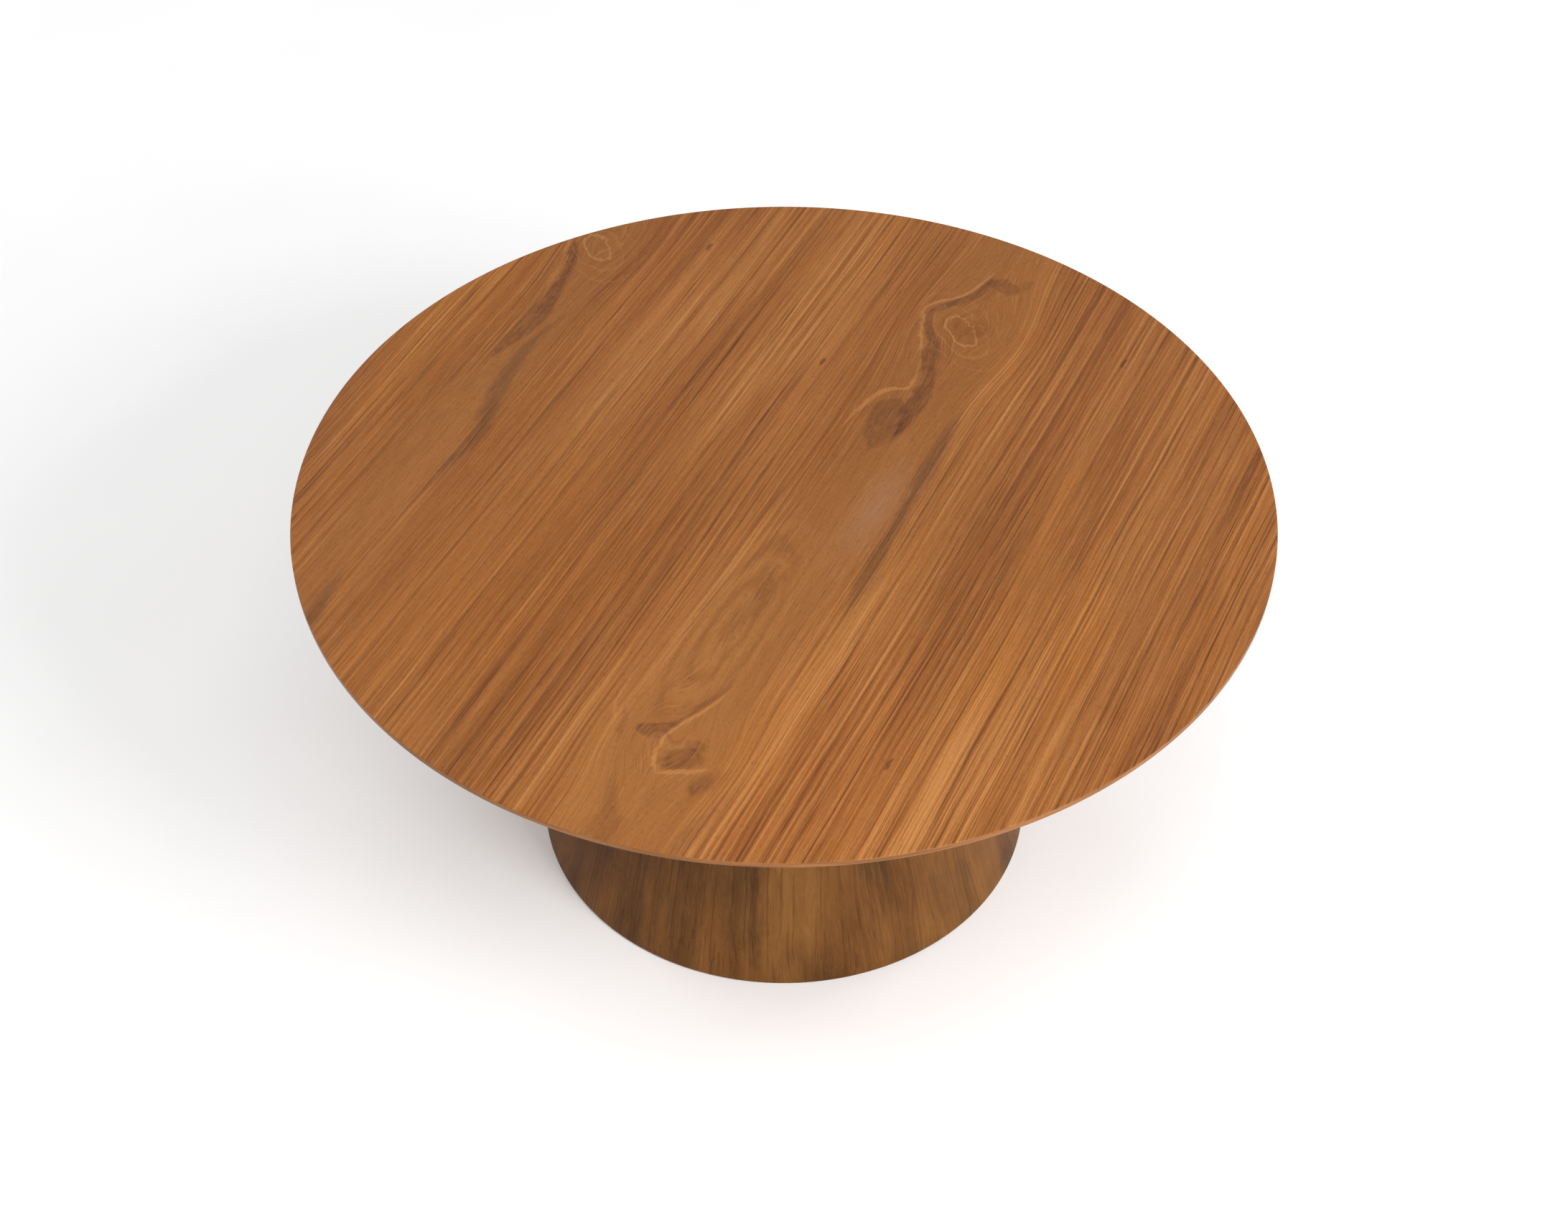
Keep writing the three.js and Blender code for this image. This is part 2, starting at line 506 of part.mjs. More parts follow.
function addBlocks() {
  const boltHole = rod(point(0, BLOCK_REAR - BOLT_ENGAGEMENT - BOLT_HOLE_SPARE, CATCH_Z),
    point(0, BLOCK_REAR + OVERCUT, CATCH_Z), BOLT_RADIUS + BOLT_HOLE_CLEARANCE);
  const block = box([-BLOCK_HALF_WIDTH, BLOCK_HALF_WIDTH], [BLOCK_FRONT, BLOCK_REAR],
    [PLATE_TOP + GAP, BLOCK_TOP]);
  addMesh('tilt_block', cut(block, [boltHole]), 'darkWalnut');

  const strikeY = [BLOCK_REAR + GAP, BLOCK_REAR + GAP + STRIKE_THICKNESS];
  const strike = box([-STRIKE_HALF_WIDTH, STRIKE_HALF_WIDTH], strikeY,
    [CATCH_Z - STRIKE_DROP, BLOCK_TOP - 1]);
  const strikeHole = rod(point(0, BLOCK_REAR - OVERCUT, CATCH_Z),
    point(0, strikeY[1] + OVERCUT, CATCH_Z), BOLT_RADIUS + STRIKE_CLEARANCE);
  addMesh('strike_plate', cut(strike, [strikeHole]), 'brass');

  // Outward direction of the tipped top's underside, and the downhill direction along it.
  const outward = point(0, -Math.sin(TILT_LIMIT), Math.cos(TILT_LIMIT));
  const downhill = point(0, -Math.cos(TILT_LIMIT), -Math.sin(TILT_LIMIT));
  const faceY = (z) => PIVOT_Y
    + (STOP_FACE_OFFSET - outward.z * (z - PIVOT_Z)) / outward.y;
  const stopBottom = PLATE_TOP + GAP;
  const stopTop = PIVOT_Z + STOP_FACE_OFFSET * outward.z;
  const stopShape = new THREE.Shape([
    new THREE.Vector2(BLOCK_FRONT - GAP, stopBottom), new THREE.Vector2(BLOCK_FRONT - GAP, stopTop),
    new THREE.Vector2(faceY(stopTop), stopTop), new THREE.Vector2(faceY(stopBottom), stopBottom),
  ]);
  const stopBlock = sidePlate(stopShape, -STOP_BLOCK_HALF_WIDTH, 2 * STOP_BLOCK_HALF_WIDTH);
  addMesh('stop_block', stopBlock, 'darkWalnut');

  const stopLength = UNDERSIDE_OFFSET - STOP_CLEARANCE - STOP_FACE_OFFSET - GAP;
  const restLength = TOP_UNDERSIDE - BLOCK_TOP - 2 * GAP;
  for (const [label, side] of SIDES) {
    const start = point(side * STOP_X, PIVOT_Y, PIVOT_Z)
      .addScaledVector(outward, STOP_FACE_OFFSET + GAP)
      .addScaledVector(downhill, STOP_RADIUS + STOP_DROP);
    const stop = disc(0, stopLength, STOP_RADIUS, STOP_RADIUS - BUFFER_TAPER, HARDWARE_SEGMENTS);
    addMesh(`stop_buffer_${label}`, aim(stop, start, outward), 'rubber');
    const rest = disc(0, restLength, REST_RADIUS, REST_RADIUS - BUFFER_TAPER, HARDWARE_SEGMENTS);
    rest.translate(side * REST_X, REST_Y, BLOCK_TOP + GAP);
    addMesh(`rest_buffer_${label}`, rest, 'rubber');
  }
}

// Conical pedestal: veneered plywood shell on boards and ribs, with a steel disc low down
function addPedestal() {
  const shellTop = CONE_TOP - CAP_THICKNESS - GAP;
  const shellOffset = BASE_VENEER + GAP;
  const boardOffset = shellOffset + SHELL_WALL + GAP;
  const ring = (outer, inner) => turned([
    [coneRadius(CONE_BOTTOM) - inner, CONE_BOTTOM], [coneRadius(CONE_BOTTOM) - outer, CONE_BOTTOM],
    [coneRadius(shellTop) - outer, shellTop], [coneRadius(shellTop) - inner, shellTop],
    [coneRadius(CONE_BOTTOM) - inner, CONE_BOTTOM],
  ]);
  addMesh('base_veneer', ring(0, BASE_VENEER), 'darkWalnut');
  addMesh('base_shell', ring(shellOffset, shellOffset + SHELL_WALL), 'plywood');

  const capBottom = shellTop + GAP;
  const cap = disc(capBottom, CONE_TOP, coneRadius(capBottom), coneRadius(CONE_TOP));
  addMesh('base_cap', cut(cap, plateBoltHoles()), 'darkWalnut');

  const board = (bottom) => {
    const top = bottom + BOARD_THICKNESS;
    return disc(bottom, top, coneRadius(bottom) - boardOffset, coneRadius(top) - boardOffset);
  };
  const topBoardBottom = shellTop - BOARD_THICKNESS;
  addMesh('bottom_board', board(CONE_BOTTOM), 'plywood');
  addMesh('top_board', cut(board(topBoardBottom), plateBoltHoles()), 'plywood');

  const floorTop = CONE_BOTTOM + BOARD_THICKNESS + GAP;
  addMesh('ballast_disc', disc(floorTop, floorTop + BALLAST_THICKNESS, BALLAST_RADIUS), 'steel');

  const ribInner = BALLAST_RADIUS + RIB_CLEARANCE;
  const ribTop = topBoardBottom - GAP;
  const ribOffset = boardOffset + GAP;
  for (let i = 0; i < RIB_COUNT; i += 1) {
    const shape = new THREE.Shape([
      new THREE.Vector2(ribInner, floorTop),
      new THREE.Vector2(coneRadius(floorTop) - ribOffset, floorTop),
      new THREE.Vector2(coneRadius(ribTop) - ribOffset, ribTop),
      new THREE.Vector2(ribInner, ribTop),
    ]);
    const rib = sidePlate(shape, -RIB_THICKNESS / 2, RIB_THICKNESS);
    addMesh(`rib_${i}`, rib.rotateZ((i + 0.5) * Math.PI * 2 / RIB_COUNT), 'plywood');
  }

  for (let i = 0; i < GLIDE_COUNT; i += 1) {
    const angle = (i + 0.5) * Math.PI * 2 / GLIDE_COUNT;
    const glide = disc(0, GLIDE_THICKNESS, GLIDE_RADIUS - 1, GLIDE_RADIUS, HARDWARE_SEGMENTS);
    glide.translate(GLIDE_CIRCLE * Math.cos(angle), GLIDE_CIRCLE * Math.sin(angle), 0);
    addMesh(`floor_glide_${i}`, glide, 'nylon');
  }
}

addTop();
addCheeks();
addBearers();
addCatch();
addPivot();
addBlocks();
addPedestal();

export default object;
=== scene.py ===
import json
import math

import bmesh
import bpy
from mathutils import Matrix, Vector


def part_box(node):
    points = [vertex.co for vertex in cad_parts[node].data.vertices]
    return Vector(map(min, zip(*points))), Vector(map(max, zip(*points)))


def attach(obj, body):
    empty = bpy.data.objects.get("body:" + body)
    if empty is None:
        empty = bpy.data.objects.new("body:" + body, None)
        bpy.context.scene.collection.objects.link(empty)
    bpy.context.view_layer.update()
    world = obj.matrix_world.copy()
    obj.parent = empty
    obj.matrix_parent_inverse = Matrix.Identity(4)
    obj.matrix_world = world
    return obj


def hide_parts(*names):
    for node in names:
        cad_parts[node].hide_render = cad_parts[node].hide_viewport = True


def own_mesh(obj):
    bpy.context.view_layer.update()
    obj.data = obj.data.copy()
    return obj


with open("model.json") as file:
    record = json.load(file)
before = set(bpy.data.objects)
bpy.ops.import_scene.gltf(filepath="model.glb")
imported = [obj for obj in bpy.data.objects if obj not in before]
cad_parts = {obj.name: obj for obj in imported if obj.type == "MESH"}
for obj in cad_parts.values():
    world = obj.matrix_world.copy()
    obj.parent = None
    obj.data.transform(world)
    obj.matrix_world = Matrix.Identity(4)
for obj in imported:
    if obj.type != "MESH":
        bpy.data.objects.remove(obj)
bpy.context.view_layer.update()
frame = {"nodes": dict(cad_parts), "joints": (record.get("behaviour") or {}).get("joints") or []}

# The camera stands in front of the table and above it, and looks down at the top.
# The lens takes in the whole table with clear floor round it.
CAMERA_BACK = 3.1510
CAMERA_HEIGHT = 3.4928
CAMERA_DOWN_DEG = 43.724
camera_data = bpy.data.cameras.new("camera")
camera_data.lens = 58.65
camera_data.sensor_width = 36
camera = bpy.data.objects.new("camera", camera_data)
camera.location = (0, -CAMERA_BACK, CAMERA_HEIGHT)
camera.rotation_euler = (math.radians(90 - CAMERA_DOWN_DEG), 0, 0)
bpy.context.scene.collection.objects.link(camera)
bpy.context.scene.camera = camera


# Six glides of hard plastic keep the pedestal off the floor. Each is a turned disc,
# rounded at the foot, with the sunk hole for its nail.
def new_piece(name, mesh, material, body, slot, *nodes):
    """Gives a finished mesh its finish, its body and the CAD nodes it stands for."""
    data = bpy.data.meshes.new(name)
    mesh.normal_update()
    mesh.to_mesh(data)
    mesh.free()
    data.materials.append(material)
    piece = bpy.data.objects.new(name, data)
    bpy.context.scene.collection.objects.link(piece)
    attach(piece, body)
    if nodes:
        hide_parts(*nodes)
    return piece


def smooth_below(mesh, angle_deg):
    """Shades faces smooth, and keeps edges sharper than the angle crisp."""
    limit = math.radians(angle_deg)
    for face in mesh.faces:
        face.smooth = True
    for edge in mesh.edges:
        edge.smooth = len(edge.link_faces) == 2 and edge.calc_face_angle(0) < limit


def turned(profile, steps, place=Matrix.Identity(4), crisp=35):
    """Spins a profile of (radius, height) points about Z, closes it and puts it in its place."""
    mesh = bmesh.new()
    points = [mesh.verts.new((radius, 0, height)) for radius, height in profile]
    edges = [mesh.edges.new(pair) for pair in zip(points, points[1:])]
    bmesh.ops.spin(
        mesh, geom=points + edges, cent=(0, 0, 0), axis=(0, 0, 1),
        angle=2 * math.pi, steps=steps, use_merge=True)
    bmesh.ops.remove_doubles(mesh, verts=mesh.verts[:], dist=1e-6)
    bmesh.ops.dissolve_degenerate(mesh, edges=mesh.edges[:], dist=1e-7)
    bmesh.ops.recalc_face_normals(mesh, faces=mesh.faces[:])
    smooth_below(mesh, crisp)
    bmesh.ops.transform(mesh, matrix=place, verts=mesh.verts[:])
    return mesh


def arc(centre, radius, start_deg, end_deg, steps=6):
    """Points on a round corner of a profile, both ends included."""
    angles = [math.radians(start_deg + (end_deg - start_deg) * i / steps) for i in range(steps + 1)]
    return [(centre[0] + radius * math.cos(a), centre[1] + radius * math.sin(a)) for a in angles]


class Value:
    """A socket in a material, so that shader maths reads as plain arithmetic."""

    def __init__(self, finish, socket):
        self.finish = finish
        self.socket = socket

    def maths(self, operation, *others):
        inputs = {i: other for i, other in enumerate((self, *others))}
        return self.finish.node("Math", {"operation": operation}, inputs)

    def __add__(self, other):
        return self.maths("ADD", other)

    def __radd__(self, other):
        return self.maths("ADD", other)

    def __sub__(self, other):
        return self.maths("SUBTRACT", other)

    def __rsub__(self, other):
        return self.finish.node("Math", {"operation": "SUBTRACT"}, {0: other, 1: self})

    def __mul__(self, other):
        return self.maths("MULTIPLY", other)

    def __rmul__(self, other):
        return self.maths("MULTIPLY", other)

    def __truediv__(self, other):
        return self.maths("DIVIDE", other)

    def ramp(self, low, high):
        """0 below low, 1 above high, and a smooth rise between them."""
        settings = {"interpolation_type": "SMOOTHSTEP"}
        return self.finish.node("MapRange", settings, {0: self, 1: low, 2: high, 3: 0.0, 4: 1.0})


class Finish:
    """A material under construction: one principled shader and the nodes that feed it."""

    def __init__(self, name, roughness, metallic=0.0, shine=0.5):
        self.material = bpy.data.materials.new(name)
        self.material.use_nodes = True
        self.tree = self.material.node_tree
        self.shader = self.tree.nodes["Principled BSDF"]
        self.shader.inputs["Roughness"].default_value = roughness
        self.shader.inputs["Metallic"].default_value = metallic
        self.shader.inputs["Specular IOR Level"].default_value = shine
        self.place = self.node("TexCoord", output="Object")

    def node(self, kind, settings=None, inputs=None, output=0):
        """Adds a node. Its settings may hold the stops of a colour ramp or of a curve."""
        made = self.tree.nodes.new("ShaderNode" + kind)
        for key, value in (settings or {}).items():
            if key == "stops":
                elements = made.color_ramp.elements
                while len(elements) < len(value):
                    elements.new(0.5)
                for element, (position, colour) in zip(elements, value):
                    element.position = position
                    element.color = (*colour, 1)
            elif key == "curve":
                made.mapping.use_clip = False
                made.mapping.extend = "HORIZONTAL"
                points = made.mapping.curves[0].points
                while len(points) < len(value):
                    points.new(0.5, 0.5)
                for point, place in zip(points, value):
                    point.location = place
                made.mapping.update()
            else:
                setattr(made, key, value)
        for key, value in (inputs or {}).items():
            if isinstance(value, Value):
                self.tree.links.new(value.socket, made.inputs[key])
            else:
                made.inputs[key].default_value = value
        return Value(self, made.outputs[output])

    def axes(self):
        """The piece's own X, Y and Z in metres."""
        split = self.node("SeparateXYZ", inputs={0: self.place}).socket.node
        return [Value(self, split.outputs[i]) for i in range(3)]

    def noise(self, vector, scale=1.0, detail=2.0, roughness=0.5):
        inputs = {"Vector": vector, "Scale": scale, "Detail": detail, "Roughness": roughness}
        return self.node("TexNoise", inputs=inputs)

    def vector(self, x, y, z=0.0):
        return self.node("CombineXYZ", inputs={0: x, 1: y, 2: z})

    def blend(self, factor, below, above, mode="MIX"):
        """Mixes two colours; a tuple is a plain colour."""
        colours = [(*c, 1) if isinstance(c, tuple) else c for c in (below, above)]
        settings = {"data_type": "RGBA", "blend_type": mode}
        return self.node("Mix", settings, {0: factor, 6: colours[0], 7: colours[1]}, output=2)

    def feed(self, name, value):
        self.tree.links.new(value.socket, self.shader.inputs[name])

    def bump(self, height, depth):
        """Presses a height pattern of 0 to 1 into the surface, depth in metres."""
        made = self.node("Bump", inputs={"Strength": 1.0, "Distance": depth, "Height": height})
        self.feed("Normal", made)


def moulded(name, colour, roughness, grain=900.0):
    """Plastic or rubber with a faint moulded texture and scuffed patches."""
    finish = Finish(name, roughness)
    speck = finish.noise(finish.place, grain, 3.0)
    scuff = finish.noise(finish.place, 35.0, 4.0, 0.6).ramp(0.5, 0.75)
    pale = tuple(min(1.0, c * 1.9 + 0.01) for c in colour)
    finish.feed("Base Color", finish.blend(scuff * 0.5 + speck * 0.2, colour, pale))
    finish.feed("Roughness", roughness + (speck - 0.5) * 0.15 + scuff * 0.08)
    finish.bump(speck, 0.00005)
    return finish.material


glide_plastic = moulded("glide_plastic", (0.020, 0.014, 0.010), 0.45)
NAIL_HOLE_RADIUS = 0.0035
NAIL_HOLE_DEPTH = 0.0014
NAIL_HOLE_FLARE = 0.0008
GLIDE_ROUND = 0.0016
ROUND_STEPS = 64
for index in range(6):
    node = f"floor_glide_{index}"
    low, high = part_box(node)
    centre = (low + high) / 2
    radius = (high.x - low.x) / 2
    height = high.z - low.z
    profile = [(0, NAIL_HOLE_DEPTH), (NAIL_HOLE_RADIUS, NAIL_HOLE_DEPTH)]
    profile += [(NAIL_HOLE_RADIUS + NAIL_HOLE_FLARE, 0)]
    profile += arc((radius - GLIDE_ROUND, GLIDE_ROUND), GLIDE_ROUND, -90, 0)
    profile += [(radius, height), (0, height)]
    place = Matrix.Translation((centre.x, centre.y, low.z))
    glide = turned(profile, ROUND_STEPS, place)
    new_piece(f"glide_{index}", glide, glide_plastic, "pedestal", "glide_plastic", node)

# The boards, ribs and bent shell of the pedestal are birch plywood, sawn and sanded.
# Only the bottom board's face and the shell's lower edge are ever seen.
CAD_NODES = frame["nodes"]


def plywood():
    """Pale birch: a broad cross-face figure, with dark and light plies down a cut edge."""
    finish = Finish("birch_plywood", 0.62)
    x, y, z = finish.axes()
    wave = finish.noise(finish.place, 2.2, 2.0)
    figure = finish.noise(finish.vector(x * 60 + wave * 8, y * 3.5, z * 60), 1.0, 4.0, 0.6)
    fibre = finish.noise(finish.vector(x * 900, y * 30, z * 900), 1.0, 2.0)
    plies = (z * 2094 + wave).maths("SINE").ramp(-0.4, 0.5)
    normal = finish.node("TexCoord", output="Normal")
    facing = finish.node("SeparateXYZ", inputs={0: normal}, output=2).maths("ABSOLUTE")
    face = finish.blend(figure.ramp(0.3, 0.72), (0.46, 0.30, 0.16), (0.62, 0.45, 0.27))
    edge = finish.blend(plies, (0.34, 0.20, 0.10), (0.60, 0.43, 0.25))
    colour = finish.blend(facing.ramp(0.5, 0.9), edge, face)
    colour = finish.blend(fibre.ramp(0.55, 0.8) * 0.35, colour, (0.36, 0.23, 0.12))
    finish.feed("Base Color", colour)
    finish.feed("Roughness", 0.56 + fibre * 0.14)
    finish.bump(fibre, 0.00008)
    return finish.material


birch = plywood()


def dress(node, material):
    """Puts a material on a CAD node whose shape is right as it is."""
    data = CAD_NODES[node].data
    data.materials.clear()
    data.materials.append(material)


for node in ["base_shell", "top_board", "bottom_board", "top_core"]:
    dress(node, birch)
for index in range(4):
    dress(f"rib_{index}", birch)


# The ballast is a cast iron disc that lies on the bottom board inside the pedestal.
# It is left as cast, with a grainy grey skin.
def cast_iron():
    """Rough grey iron with a few rusty stains."""
    finish = Finish("cast_iron", 0.6, metallic=0.85)
    sand = finish.noise(finish.place, 420.0, 4.0, 0.65)
    stain = finish.noise(finish.place, 14.0, 4.0, 0.6)
    grey = finish.blend(sand, (0.055, 0.056, 0.060), (0.16, 0.16, 0.165))
    rusty = finish.blend(stain.ramp(0.52, 0.72) * 0.6, grey, (0.13, 0.065, 0.035))
    finish.feed("Base Color", rusty)
    finish.feed("Roughness", 0.5 + sand * 0.3)
    finish.bump(sand, 0.0003)
    return finish.material


dress("ballast_disc", cast_iron())

# The pedestal wears walnut veneer, laid with the grain running up the cone, and lacquered
# satin. Its figure is soft, with broad patches of brown and a grey-green smoke over them.
CONE_STEPS = 288
CONE_RISES = 24
SKIN = 0.0009
EASED = 0.0010


def pedestal_walnut():
    """Walnut whose grain runs up the cone, in soft broad patches."""
    finish = Finish("pedestal_walnut", 0.45, shine=0.14)
    x, y, z = finish.axes()
    radius = (x * x + y * y).maths("SQRT")
    across_x, across_y = x / radius, y / radius
    drift = finish.noise(finish.vector(across_x * 2.2, across_y * 2.2, z * 2.6), 1.0, 3.0)
    ripple = (drift - 0.5) * 0.16

    def rings(fine, tall, detail=3.0, roughness=0.55):
        spot = finish.vector((across_x + ripple) * fine, (across_y + ripple) * fine, z * tall)
        return finish.noise(spot, 1.0, detail, roughness)

    broad = rings(3.4, 3.0)
    bands = rings(15.0, 1.8, 3.0)
    lines = rings(66.0, 1.7, 3.0, 0.6)
    fibre = rings(320.0, 12.0, 2.0)
    pores = rings(620.0, 45.0, 1.0).ramp(0.58, 0.68)
    colour = finish.node("ValToRGB", {"stops": [
        (0.28, (0.080, 0.027, 0.0048)), (0.43, (0.126, 0.046, 0.0082)),
        (0.55, (0.163, 0.062, 0.0118)), (0.70, (0.215, 0.087, 0.0190))]},
        {0: (broad - 0.5) * 0.85 + (bands - 0.5) * 0.42 + 0.5})
    smoke = rings(4.4, 6.5, 3.0).ramp(0.46, 0.62)
    colour = finish.blend(smoke * 0.60, colour, (0.62, 0.68, 0.74), "MULTIPLY")
    colour = finish.blend(lines.ramp(0.50, 0.34) * 0.55, colour, (0.50, 0.44, 0.42), "MULTIPLY")
    colour = finish.blend(fibre.ramp(0.52, 0.72) * 0.18, colour, (0.330, 0.170, 0.055))
    colour = finish.blend(pores * 0.45, colour, (0.50, 0.46, 0.44), "MULTIPLY")
    finish.feed("Base Color", colour)
    finish.feed("Roughness", 0.40 + fibre * 0.14 + pores * 0.12)
    finish.bump(lines * 0.4 + fibre * 0.4 - pores * 0.6, 0.00007)
    return finish.material


walnut_on_pedestal = pedestal_walnut()
low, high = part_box("base_veneer")
foot_radius, foot_z = high.x, low.z
cap_low, cap_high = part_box("base_cap")
taper = (foot_radius - cap_high.x) / (cap_low.z - foot_z)
neck_radius = foot_radius - taper * (high.z - foot_z)
profile = [(foot_radius - SKIN, foot_z), (foot_radius - EASED / 3, foot_z)]
profile += [(foot_radius - taper * EASED, foot_z + EASED)]
for step in range(1, CONE_RISES):
    level = foot_z + EASED + (high.z - foot_z - EASED) * step / CONE_RISES
    profile.append((foot_radius - taper * (level - foot_z), level))
profile += [(neck_radius, high.z), (neck_radius - SKIN, high.z), (foot_radius - SKIN, foot_z)]
skin_mesh = turned(profile, CONE_STEPS, crisp=40)
new_piece("pedestal_skin", skin_mesh, walnut_on_pedestal, "pedestal", "base_walnut", "base_veneer")

# The cap closes the top of the cone: a thin walnut-faced board with an eased edge.
# The steel mounting plate is bolted down through it.
def planed_wood(name, dark, light, along):
    """Close straight grain along one axis ('X', 'Y' or 'Z'), with small pores."""
    finish = Finish(name, 0.5, shine=0.3)
    x, y, z = finish.axes()
    axes = {"X": (y, z, x), "Y": (x, z, y), "Z": (x, y, z)}
    across, deep, length = axes[along]
    bend = finish.noise(finish.vector(across * 4, deep * 4, length * 1.5), 1.0, 2.0)
    rings = finish.noise(
        finish.vector(across * 110 + bend * 9, deep * 110 + bend * 9, length * 3), 1.0, 4.0, 0.6)
    fibre = finish.noise(finish.vector(across * 800, deep * 800, length * 25), 1.0, 2.0)
    pores = finish.noise(finish.vector(across * 1500, deep * 1500, length * 90), 1.0, 1.0)
    colour = finish.blend(rings.ramp(0.32, 0.70), dark, light)
    deeper = tuple(c * 0.45 for c in dark)
    colour = finish.blend(pores.ramp(0.60, 0.70) * 0.5 + fibre.ramp(0.6, 0.8) * 0.3, colour, deeper)
    finish.feed("Base Color", colour)
    finish.feed("Roughness", 0.42 + fibre * 0.2)
    finish.bump(fibre * 0.6 + rings * 0.4, 0.00012)
    return finish.material


CAP_EASE_OUT = 0.0003
CAP_EASE_IN = 0.0008
CAP_LOOP = 0.0040
cap_top = cap_high.x - taper * (cap_high.z - cap_low.z)
profile = [(0, cap_low.z), (cap_high.x, cap_low.z), (cap_top + CAP_EASE_OUT, cap_high.z - EASED)]
profile += [(cap_top - CAP_EASE_IN, cap_high.z), (cap_top - CAP_LOOP, cap_high.z), (0, cap_high.z)]
cap = turned(profile, CONE_STEPS)
cap_walnut = planed_wood("cap_walnut", (0.110, 0.039, 0.0075), (0.235, 0.092, 0.0190), "X")
new_piece("pedestal_cap", cap, cap_walnut, "pedestal", "base_walnut", "base_cap")

# A steel plate is bolted to the cap and carries the two pivot lugs, which are welded on.
# All of it is cut from flat bar, deburred and powder coated black.
def eased(node, width, segments=2):
    """A merged copy of a CAD piece with its sharp edges rounded. Its flat faces stay flat."""
    sharp, steep, slight = (math.radians(angle) for angle in (30, 12, 0.5))
    mesh = bmesh.new()
    mesh.from_mesh(CAD_NODES[node].data)
    bmesh.ops.remove_doubles(mesh, verts=mesh.verts[:], dist=1e-6)
    bmesh.ops.dissolve_limit(
        mesh, angle_limit=math.radians(1), verts=mesh.verts[:], edges=mesh.edges[:])
    corners = [e for e in mesh.edges if len(e.link_faces) == 2 and e.calc_face_angle(0) > sharp]
    rounds = bmesh.ops.bevel(
        mesh, geom=corners, offset=width, segments=segments, profile=0.5, affect="EDGES",
        material=-1, clamp_overlap=False)["faces"]
    smooth_below(mesh, 50)
    rounded = set(rounds)
    for face in mesh.faces:
        bends = any(slight < edge.calc_face_angle(0) < steep for edge in face.edges)
        face.smooth = face in rounded or bends
    return mesh


def powder_coat():
    """Black powder coat: fine orange peel and faint handling marks."""
    finish = Finish("black_powder_coat", 0.42)
    peel = finish.noise(finish.place, 1400.0, 2.0)
    dust = finish.noise(finish.place, 28.0, 5.0, 0.6).ramp(0.48, 0.78)
    black = finish.blend(dust * 0.4, (0.012, 0.012, 0.013), (0.045, 0.044, 0.042))
    finish.feed("Base Color", black)
    finish.feed("Roughness", 0.36 + peel * 0.12 + dust * 0.15)
    finish.bump(peel, 0.00006)
    return finish.material


black_steel = powder_coat()
SIDES = ("left", "right")
PLATE_EDGE = 0.0008
for node in ["mounting_plate"] + [f"pivot_lug_{side}" for side in SIDES]:
    plate = eased(node, PLATE_EDGE)
    new_piece(f"{node}_coated", plate, black_steel, "pedestal", "black_steel", node)


# Bright zinc plated hardware: round-headed bolts and screws with a hexagon socket, the
# two pivot pins and their nuts. All are turned or cold headed, then plated.
def zinc_plate():
    """Zinc: blue-grey, slightly mottled, with turning lines round it."""
    finish = Finish("zinc_plate", 0.32, metallic=1.0)
    mottle = finish.noise(finish.place, 160.0, 4.0, 0.6)
    fine = finish.noise(finish.place, 2600.0, 1.0)
    finish.feed("Base Color", finish.blend(mottle, (0.47, 0.48, 0.51), (0.68, 0.69, 0.70)))
    finish.feed("Roughness", 0.24 + mottle * 0.2)
    finish.bump(fine, 0.00003)
    return finish.material


bright_zinc = zinc_plate()
UP = Vector((0, 0, 1))
SCREW_STEPS = 48


def lying_along(direction, start):
    """Turns a piece made along +Z to a direction and moves its foot to a start point."""
    turn = UP.rotation_difference(Vector(direction)).to_matrix().to_4x4()
    return Matrix.Translation(start) @ turn


def socket_screw(length, shank, head, head_height, place, threaded=0.0):
    """Tip at the origin, thread ridges over part of the shank, domed head with a hex socket."""
    pitch = shank * 0.32
    tip, point_height = shank * 0.55, shank * 0.6
    root, crest, core = shank * 0.82, shank * 0.97, shank * 0.95
    profile = [(0, 0), (tip, 0), (core, point_height)]
    for turn in range(int(threaded / pitch)):
        level = point_height + turn * pitch
        profile += [(root, level + pitch * 0.5), (crest, level + pitch)]
    dome = head * 0.28
    under_edge = 0.0003
    profile += [(core, length), (head - under_edge, length), (head, length + under_edge)]
    profile += arc((head - dome, length + head_height - dome), dome, 0, 90, 5)
    socket_across = head * 0.5
    profile += [(socket_across, length + head_height)]
    mesh = turned(profile, SCREW_STEPS)
    rim = [e for e in mesh.edges if e.is_boundary]
    rim_verts = list({v for e in rim for v in e.verts})
    sink = bmesh.ops.extrude_edge_only(mesh, edges=rim)["geom"]
    lowered = [v for v in sink if isinstance(v, bmesh.types.BMVert)]
    half_side = math.pi / 6
    for vert in rim_verts + lowered:
        angle = math.atan2(vert.co.y, vert.co.x)
        wedge = (angle + half_side) % (2 * half_side) - half_side
        reach = socket_across * math.cos(half_side) / math.cos(wedge)
        vert.co.x, vert.co.y = reach * math.cos(angle), reach * math.sin(angle)
    for vert in lowered:
        vert.co.z = length + head_height * 0.35
    floor = [e for e in mesh.edges if e.is_boundary]
    bmesh.ops.contextual_create(mesh, geom=floor)
    bmesh.ops.recalc_face_normals(mesh, faces=mesh.faces[:])
    smooth_below(mesh, 35)
    bmesh.ops.transform(mesh, matrix=place, verts=mesh.verts[:])
    return mesh


